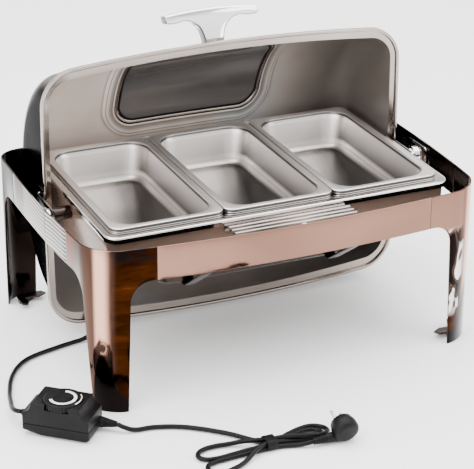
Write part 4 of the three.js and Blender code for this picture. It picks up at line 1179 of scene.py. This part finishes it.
class CHAFER_OT_lid(bpy.types.Operator):
    """Makes the lid's shell with its rolled rim, and the window with its gasket"""

    bl_idname = "chafer.lid"
    bl_label = "Lid"

    def execute(self, context):
        sizes = context.scene.chafer_lid
        self.shell(sizes)
        dome = Dome(sizes, 0.0, DOME_BASE)
        rings = []
        for inset, depth in ((8.6, 3.6), (7.6, 3.2), (7.6, -0.2), (8.6, -0.8), (12, -0.8), (20, -0.8),
                             (30, -0.8), (42, -0.8), (56, -0.8), (72, -0.8)):
            rings.append([dome.on_window(p.x, p.y, depth) for p in window_outline(inset)])
        under = [[dome.on_window(p.x, p.y, 3.6) for p in window_outline(inset)]
                 for inset in (72, 56, 42, 30, 20, 12)]
        bm = loft(bmesh.new(), under + rings, cap_first=True, cap_last=True)
        tidy_mesh(bm)
        finish_piece(bm, "window_pane", ["smoked_glass"], "lid", ["window_glass"], 40,
                     LID_PLACE)
        bezel = ((-1.6, 0.2), (-1.2, -1.2), (0.0, -1.7), (4.6, -1.7), (5.0, -1.0), (5.0, 4.2), (4.4, 4.9),
                 (1.0, 5.2), (-1.0, 4.4), (-1.6, 3.2))
        lip = ((5.2, -1.7), (8.4, -1.2), (9.2, 0.0), (9.0, 3.4), (7.6, 3.8), (5.2, 3.8))
        bm = bmesh.new()
        for slot, section in enumerate((lip, bezel)):
            loops = [[dome.on_window(p.x, p.y, depth) for p in window_outline(inset)]
                     for inset, depth in section]
            part = loft(bmesh.new(), loops, ring=True)
            for face in part.faces:
                face.material_index = slot
            added(bm, part)
        tidy_mesh(bm)
        finish_piece(bm, "window_seal", ["black_rubber", "rim_steel"], "lid", ["window_gasket"],
                     50, LID_PLACE)
        return {"FINISHED"}

    def shell(self, sizes):
        sheet = mm(sizes.sheet)
        outer, inner = Dome(sizes, 0.0, DOME_BASE), Dome(sizes, sheet, DOME_BASE - 2.4)
        bm = bmesh.new()
        loft(bm, outer.arches(), closed=False)
        inner_bm = loft(bmesh.new(), inner.arches(), closed=False)
        for face in bm.faces:
            face.material_index = 1
        for face in inner_bm.faces:
            face.material_index = 0
        rim = [outer.base_loop()]
        for inset, z in ((0.6, 7.3), (1.2, 7.1), (0.5, 6.8), (0, 5.9), (0, 1.4), (0.25, 0.5), (0.9, 0),
                         (3.9, 0), (4.7, 0.4), (5.0, 1.2), (5.4, 4.5)):
            rim.append(bowed_loop(299 - inset, 220 - inset, 50 - inset, RIM_RISE + z, (2, 16),
                                  (8, 14, sizes.side_steps)))
        rim.append(inner.base_loop())
        rim_bm = loft(bmesh.new(), rim)
        for face in rim_bm.faces:
            face.material_index = 2
        added(bm, inner_bm, rim_bm)
        tidy_mesh(bm)
        outline = [(p.x, p.y) for p in window_outline(0)]
        cutter = prism(outline, -60, 70)
        bmesh.ops.transform(cutter,
                            matrix=Matrix.Translation(WINDOW_CENTRE) @ Matrix.Rotation(WINDOW_TILT, 4, "X"),
                            verts=cutter.verts)
        finishes = ["lid_inside_steel", "lid_outside_steel", "rim_steel"]
        bm = carved(bm, [cutter], finishes)
        finish_piece(bm, "lid_sheet", finishes, "lid", ["lid_shell"],
                     40, LID_PLACE)


class CHAFER_OT_handle(bpy.types.Operator):
    """Makes the T handle: one post that spreads into two wings"""

    bl_idname = "chafer.handle"
    bl_label = "Handle"

    def execute(self, context):
        span, reach, post, thick = 78.0, 56.0, 16.0, 20.0

        def bezier(*pulls, steps=10):
            points = []
            for i in range(1, steps + 1):
                level = [Vector(p) for p in pulls]
                while len(level) > 1:
                    level = [a.lerp(b, i / steps) for a, b in zip(level, level[1:])]
                points.append(tuple(level[0]))
            return points

        right = bezier((post, 0.6), (post + 1, reach * 0.5), (post + 12, reach * 0.66),
                       (post + 30, reach - 16))
        right += bezier(right[-1], (span - 12, reach - 21), (span - 2, reach - 17), steps=6)
        right += bezier(right[-1], (span + 0.5, reach - 12), (span, reach - 5), steps=4)
        crown = bezier((span, reach - 5), (0, reach + 5), (-span, reach - 5), steps=24)
        left = [(-x, y) for x, y in reversed(right[:-1])]
        outline = [(post, 0.6), *right, *crown, *left, (-post, 0.6)]
        bm = prism(outline, -thick / 2, thick / 2)
        rim = [e for e in bm.edges if e.calc_face_angle(0.0) > math.radians(60) and
               any(abs(f.normal.z) > 0.9 for f in e.link_faces) and
               not all(v.co.y < 1 for v in e.verts)]
        round_edges(bm, rim, 3.4, 5)
        place = LID_PLACE @ Matrix.Translation((0, -199.2, 91)) @ Matrix.Rotation(math.radians(163), 4, "X")
        finish_piece(bm, "handle_casting", ["handle_chrome"], "lid", ["handle"], 50, place)
        return {"FINISHED"}


# ---- control box ----
PART_LINE = 18.0
BOX_WIDTH = 27.0
BOX_TOP = 52.0
DIAL = (2.5, -0.5, 28.5, 44.3, 54.0)


class CHAFER_OT_control_box(bpy.types.Operator):
    """Makes the control box and its thermostat wheel"""

    bl_idname = "chafer.control_box"
    bl_label = "Control box"

    def execute(self, context):
        self.base()
        self.cover()
        self.dial()
        return {"FINISHED"}

    def base(self):
        outline = [(-BOX_HALF, 9), (-BOX_HALF + 28, 3), (BOX_HALF - 4, 3), (BOX_HALF, 6),
                   (BOX_HALF, PART_LINE), (-BOX_HALF, PART_LINE)]
        bm = prism(outline, -BOX_WIDTH, BOX_WIDTH, "Y")
        round_edges(bm, sharp_edges(bm, 8), 1.1, 3)
        feet = [turned([(0, 0), (3.4, 0), (4, 0.6), (4, 3.4), (0, 3.4)], 20, Matrix.Translation((x, y, 0)))
                for x in (-14, 38) for y in (-19, 19)]
        added(bm, *feet)
        finish_piece(bm, "control_box_tray", ["black_plastic"], "stand", ["control_box_base"],
                     place=BOX_PLACE)

    def cover(self):
        shoulder = 36.0
        right = [(BOX_HALF, shoulder), (BOX_HALF - 4.5, shoulder + 1.0), (BOX_HALF - 8.5, shoulder + 3.2),
                 (BOX_HALF - 11.2, shoulder + 7.4), (BOX_HALF - 13, shoulder + 12), (BOX_HALF - 14, BOX_TOP)]
        left = [(-x, z) for x, z in reversed(right)]
        outline = [(-BOX_HALF, PART_LINE + 0.5), (BOX_HALF, PART_LINE + 0.5), *right, *left]
        bm = prism(outline, -BOX_WIDTH, BOX_WIDTH, "Y")
        round_edges(bm, sharp_edges(bm, 40), 1.1, 3)
        x, y, radius, low, _ = DIAL
        well = turned([(0, low - GAP), (radius + 0.6, low - GAP), (radius + 0.6, 60), (0, 60)], 72,
                      Matrix.Translation((x, y, 0)))
        notch = prism([(x - 18, -30), (x + 18, -30), (x + 18, -18), (x - 18, -18)], low - GAP, 60)
        bm = carved(bm, [well, notch])
        grooves = prism([(-33, -5), (-31.5, -5), (-31.5, 5), (-33, 5)], BOX_TOP - 0.6, 60)
        bm = carved(bm, [grooves])
        finish_piece(bm, "control_box_lid", ["black_plastic"], "stand", ["control_box_cover"],
                     place=BOX_PLACE)

    def dial(self):
        """A knurled wheel whose printed scale lies in rings on its face."""
        x, y, radius, low, high = DIAL
        count = 144

        def ring(r, z, knurled=False):
            points = []
            for i in range(count):
                a = 2 * math.pi * i / count
                reach = r - (0.9 if knurled and i % 4 < 2 else 0.0)
                points.append(Vector((reach * math.cos(a), reach * math.sin(a), z)))
            return points

        loops = [ring(radius - 3, low), ring(radius, low + 0.8, True), ring(radius, high - 1.6, True),
                 ring(radius - 1.4, high - 0.3), ring(radius - 2.2, high)]
        loops += [ring(r, high) for r in (25.6, 25.4, 23.0, 20.2, 20.0, 15.6, 15.4)]
        loops += [ring(12.4, high), ring(12.0, high - 0.7), ring(6, high - 0.8)]
        bm = loft(bmesh.new(), loops, cap_first=True, cap_last=True)
        tidy_mesh(bm)
        for face in bm.faces:
            centre = face.calc_center_median()
            r, angle = Vector((centre.x, centre.y)).length, math.degrees(math.atan2(centre.y, centre.x))
            if centre.z > high - 0.1 and 15.6 < r < 20.0 and not 100 < angle % 360 < 212:
                face.material_index = 1
            if centre.z > high - 0.35 and 25.5 < r < 27.4 and -28 < angle < 38:
                face.material_index = 2
        place = BOX_PLACE @ Matrix.Translation((x, y, 0))
        finish_piece(bm, "thermostat_wheel", ["black_plastic", "dial_print", "dial_print_warm"],
                     "thermostat_dial", ["thermostat_dial"], place=place)


# ---- plug ----
PLUG_PLACE = Matrix.Translation((-16, -410, 0))
PLUG_LEAN = math.radians(72)
PLUG_TURN = math.radians(32)


class CHAFER_OT_plug(bpy.types.Operator):
    bl_idname = "chafer.plug"
    bl_label = "Plug"

    def execute(self, context):
        lean = PLUG_PLACE @ Matrix.Translation((0, -13, 17)) @ Matrix.Rotation(-PLUG_LEAN, 4, "X")
        profile = [(0, 0), (12, 0), (15, 0.8), (17.6, 2.8), (19, 6), (19, 15), (18.4, 18), (17.2, 20.5),
                   (16.2, 24.8), (15.2, 26), (13.4, 26), (13.0, 25.2), (0, 25.2)]
        body = turned(profile, 48, lean)
        neck_place = PLUG_PLACE @ Matrix.Translation((-47.5, 1, 9)) @ Matrix.Rotation(math.pi / 2, 4, "Y")
        profile = [(0, 0), (4.6, 0)]
        for i in range(5):
            z, r = 1.0 + 3.6 * i, 5.0 + 0.28 * i
            profile += [(r, z), (r, z + 2.2), (r - 0.8, z + 2.5), (r - 0.8, z + 3.4)]
        profile += [(6.4, 19.2), (7.4, 26), (8, 37), (0, 37)]
        neck = turned(profile, 32, neck_place)
        finish_piece(added(body, neck), "plug_moulding", ["black_plastic"], "stand", ["plug_body"],
                     place=None)
        for name, side in (("live", -1), ("neutral", 1)):
            reach = side * 9.5
            place = lean @ Matrix.Translation((reach * math.cos(PLUG_TURN), reach * math.sin(PLUG_TURN),
                                               26.3))
            pin = turned([(0, 0), (2.4, 0), (2.4, 15.2), (1.9, 16.4), (1.0, 17), (0, 17)], 24, place)
            finish_piece(pin, f"plug_pin_{name}_rod", ["pin_metal"], "stand", [f"plug_pin_{name}"])
        self.declare(context.scene.chafer_cords)
        return {"FINISHED"}

    def declare(self, sizes):
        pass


# ---- panel and running ----
OPERATORS = (CHAFER_OT_finishes, CHAFER_OT_camera, CHAFER_OT_stage, CHAFER_OT_cords, CHAFER_OT_control_box,
             CHAFER_OT_plug, CHAFER_OT_stand, CHAFER_OT_pans, CHAFER_OT_lid, CHAFER_OT_handle)
GROUPS = {"chafer_stand": ChaferStandSizes, "chafer_pans": ChaferPanSizes, "chafer_lid": ChaferLidSizes,
          "chafer_cords": ChaferCordSizes, "chafer_finishes": ChaferFinishes}


class CHAFER_PT_panel(bpy.types.Panel):
    bl_label = "Roll top chafer"
    bl_idname = "CHAFER_PT_panel"
    bl_space_type = "VIEW_3D"
    bl_region_type = "UI"
    bl_category = "Chafer"

    def draw(self, context):
        for name, group in GROUPS.items():
            for prop in group.__annotations__:
                self.layout.prop(getattr(context.scene, name), prop)
        for operator in OPERATORS:
            self.layout.operator(operator.bl_idname)


def register():
    for cls in (*GROUPS.values(), *OPERATORS, CHAFER_PT_panel):
        bpy.utils.register_class(cls)
    for name, group in GROUPS.items():
        setattr(bpy.types.Scene, name, PointerProperty(type=group))


def unregister():
    for name in GROUPS:
        delattr(bpy.types.Scene, name)
    for cls in (CHAFER_PT_panel, *reversed(OPERATORS), *reversed(GROUPS.values())):
        bpy.utils.unregister_class(cls)


def main():
    register()
    for operator in OPERATORS:
        group, name = operator.bl_idname.split(".")
        getattr(getattr(bpy.ops, group), name)()
    bpy.context.view_layer.update()


if __name__ == "__main__":
    main()
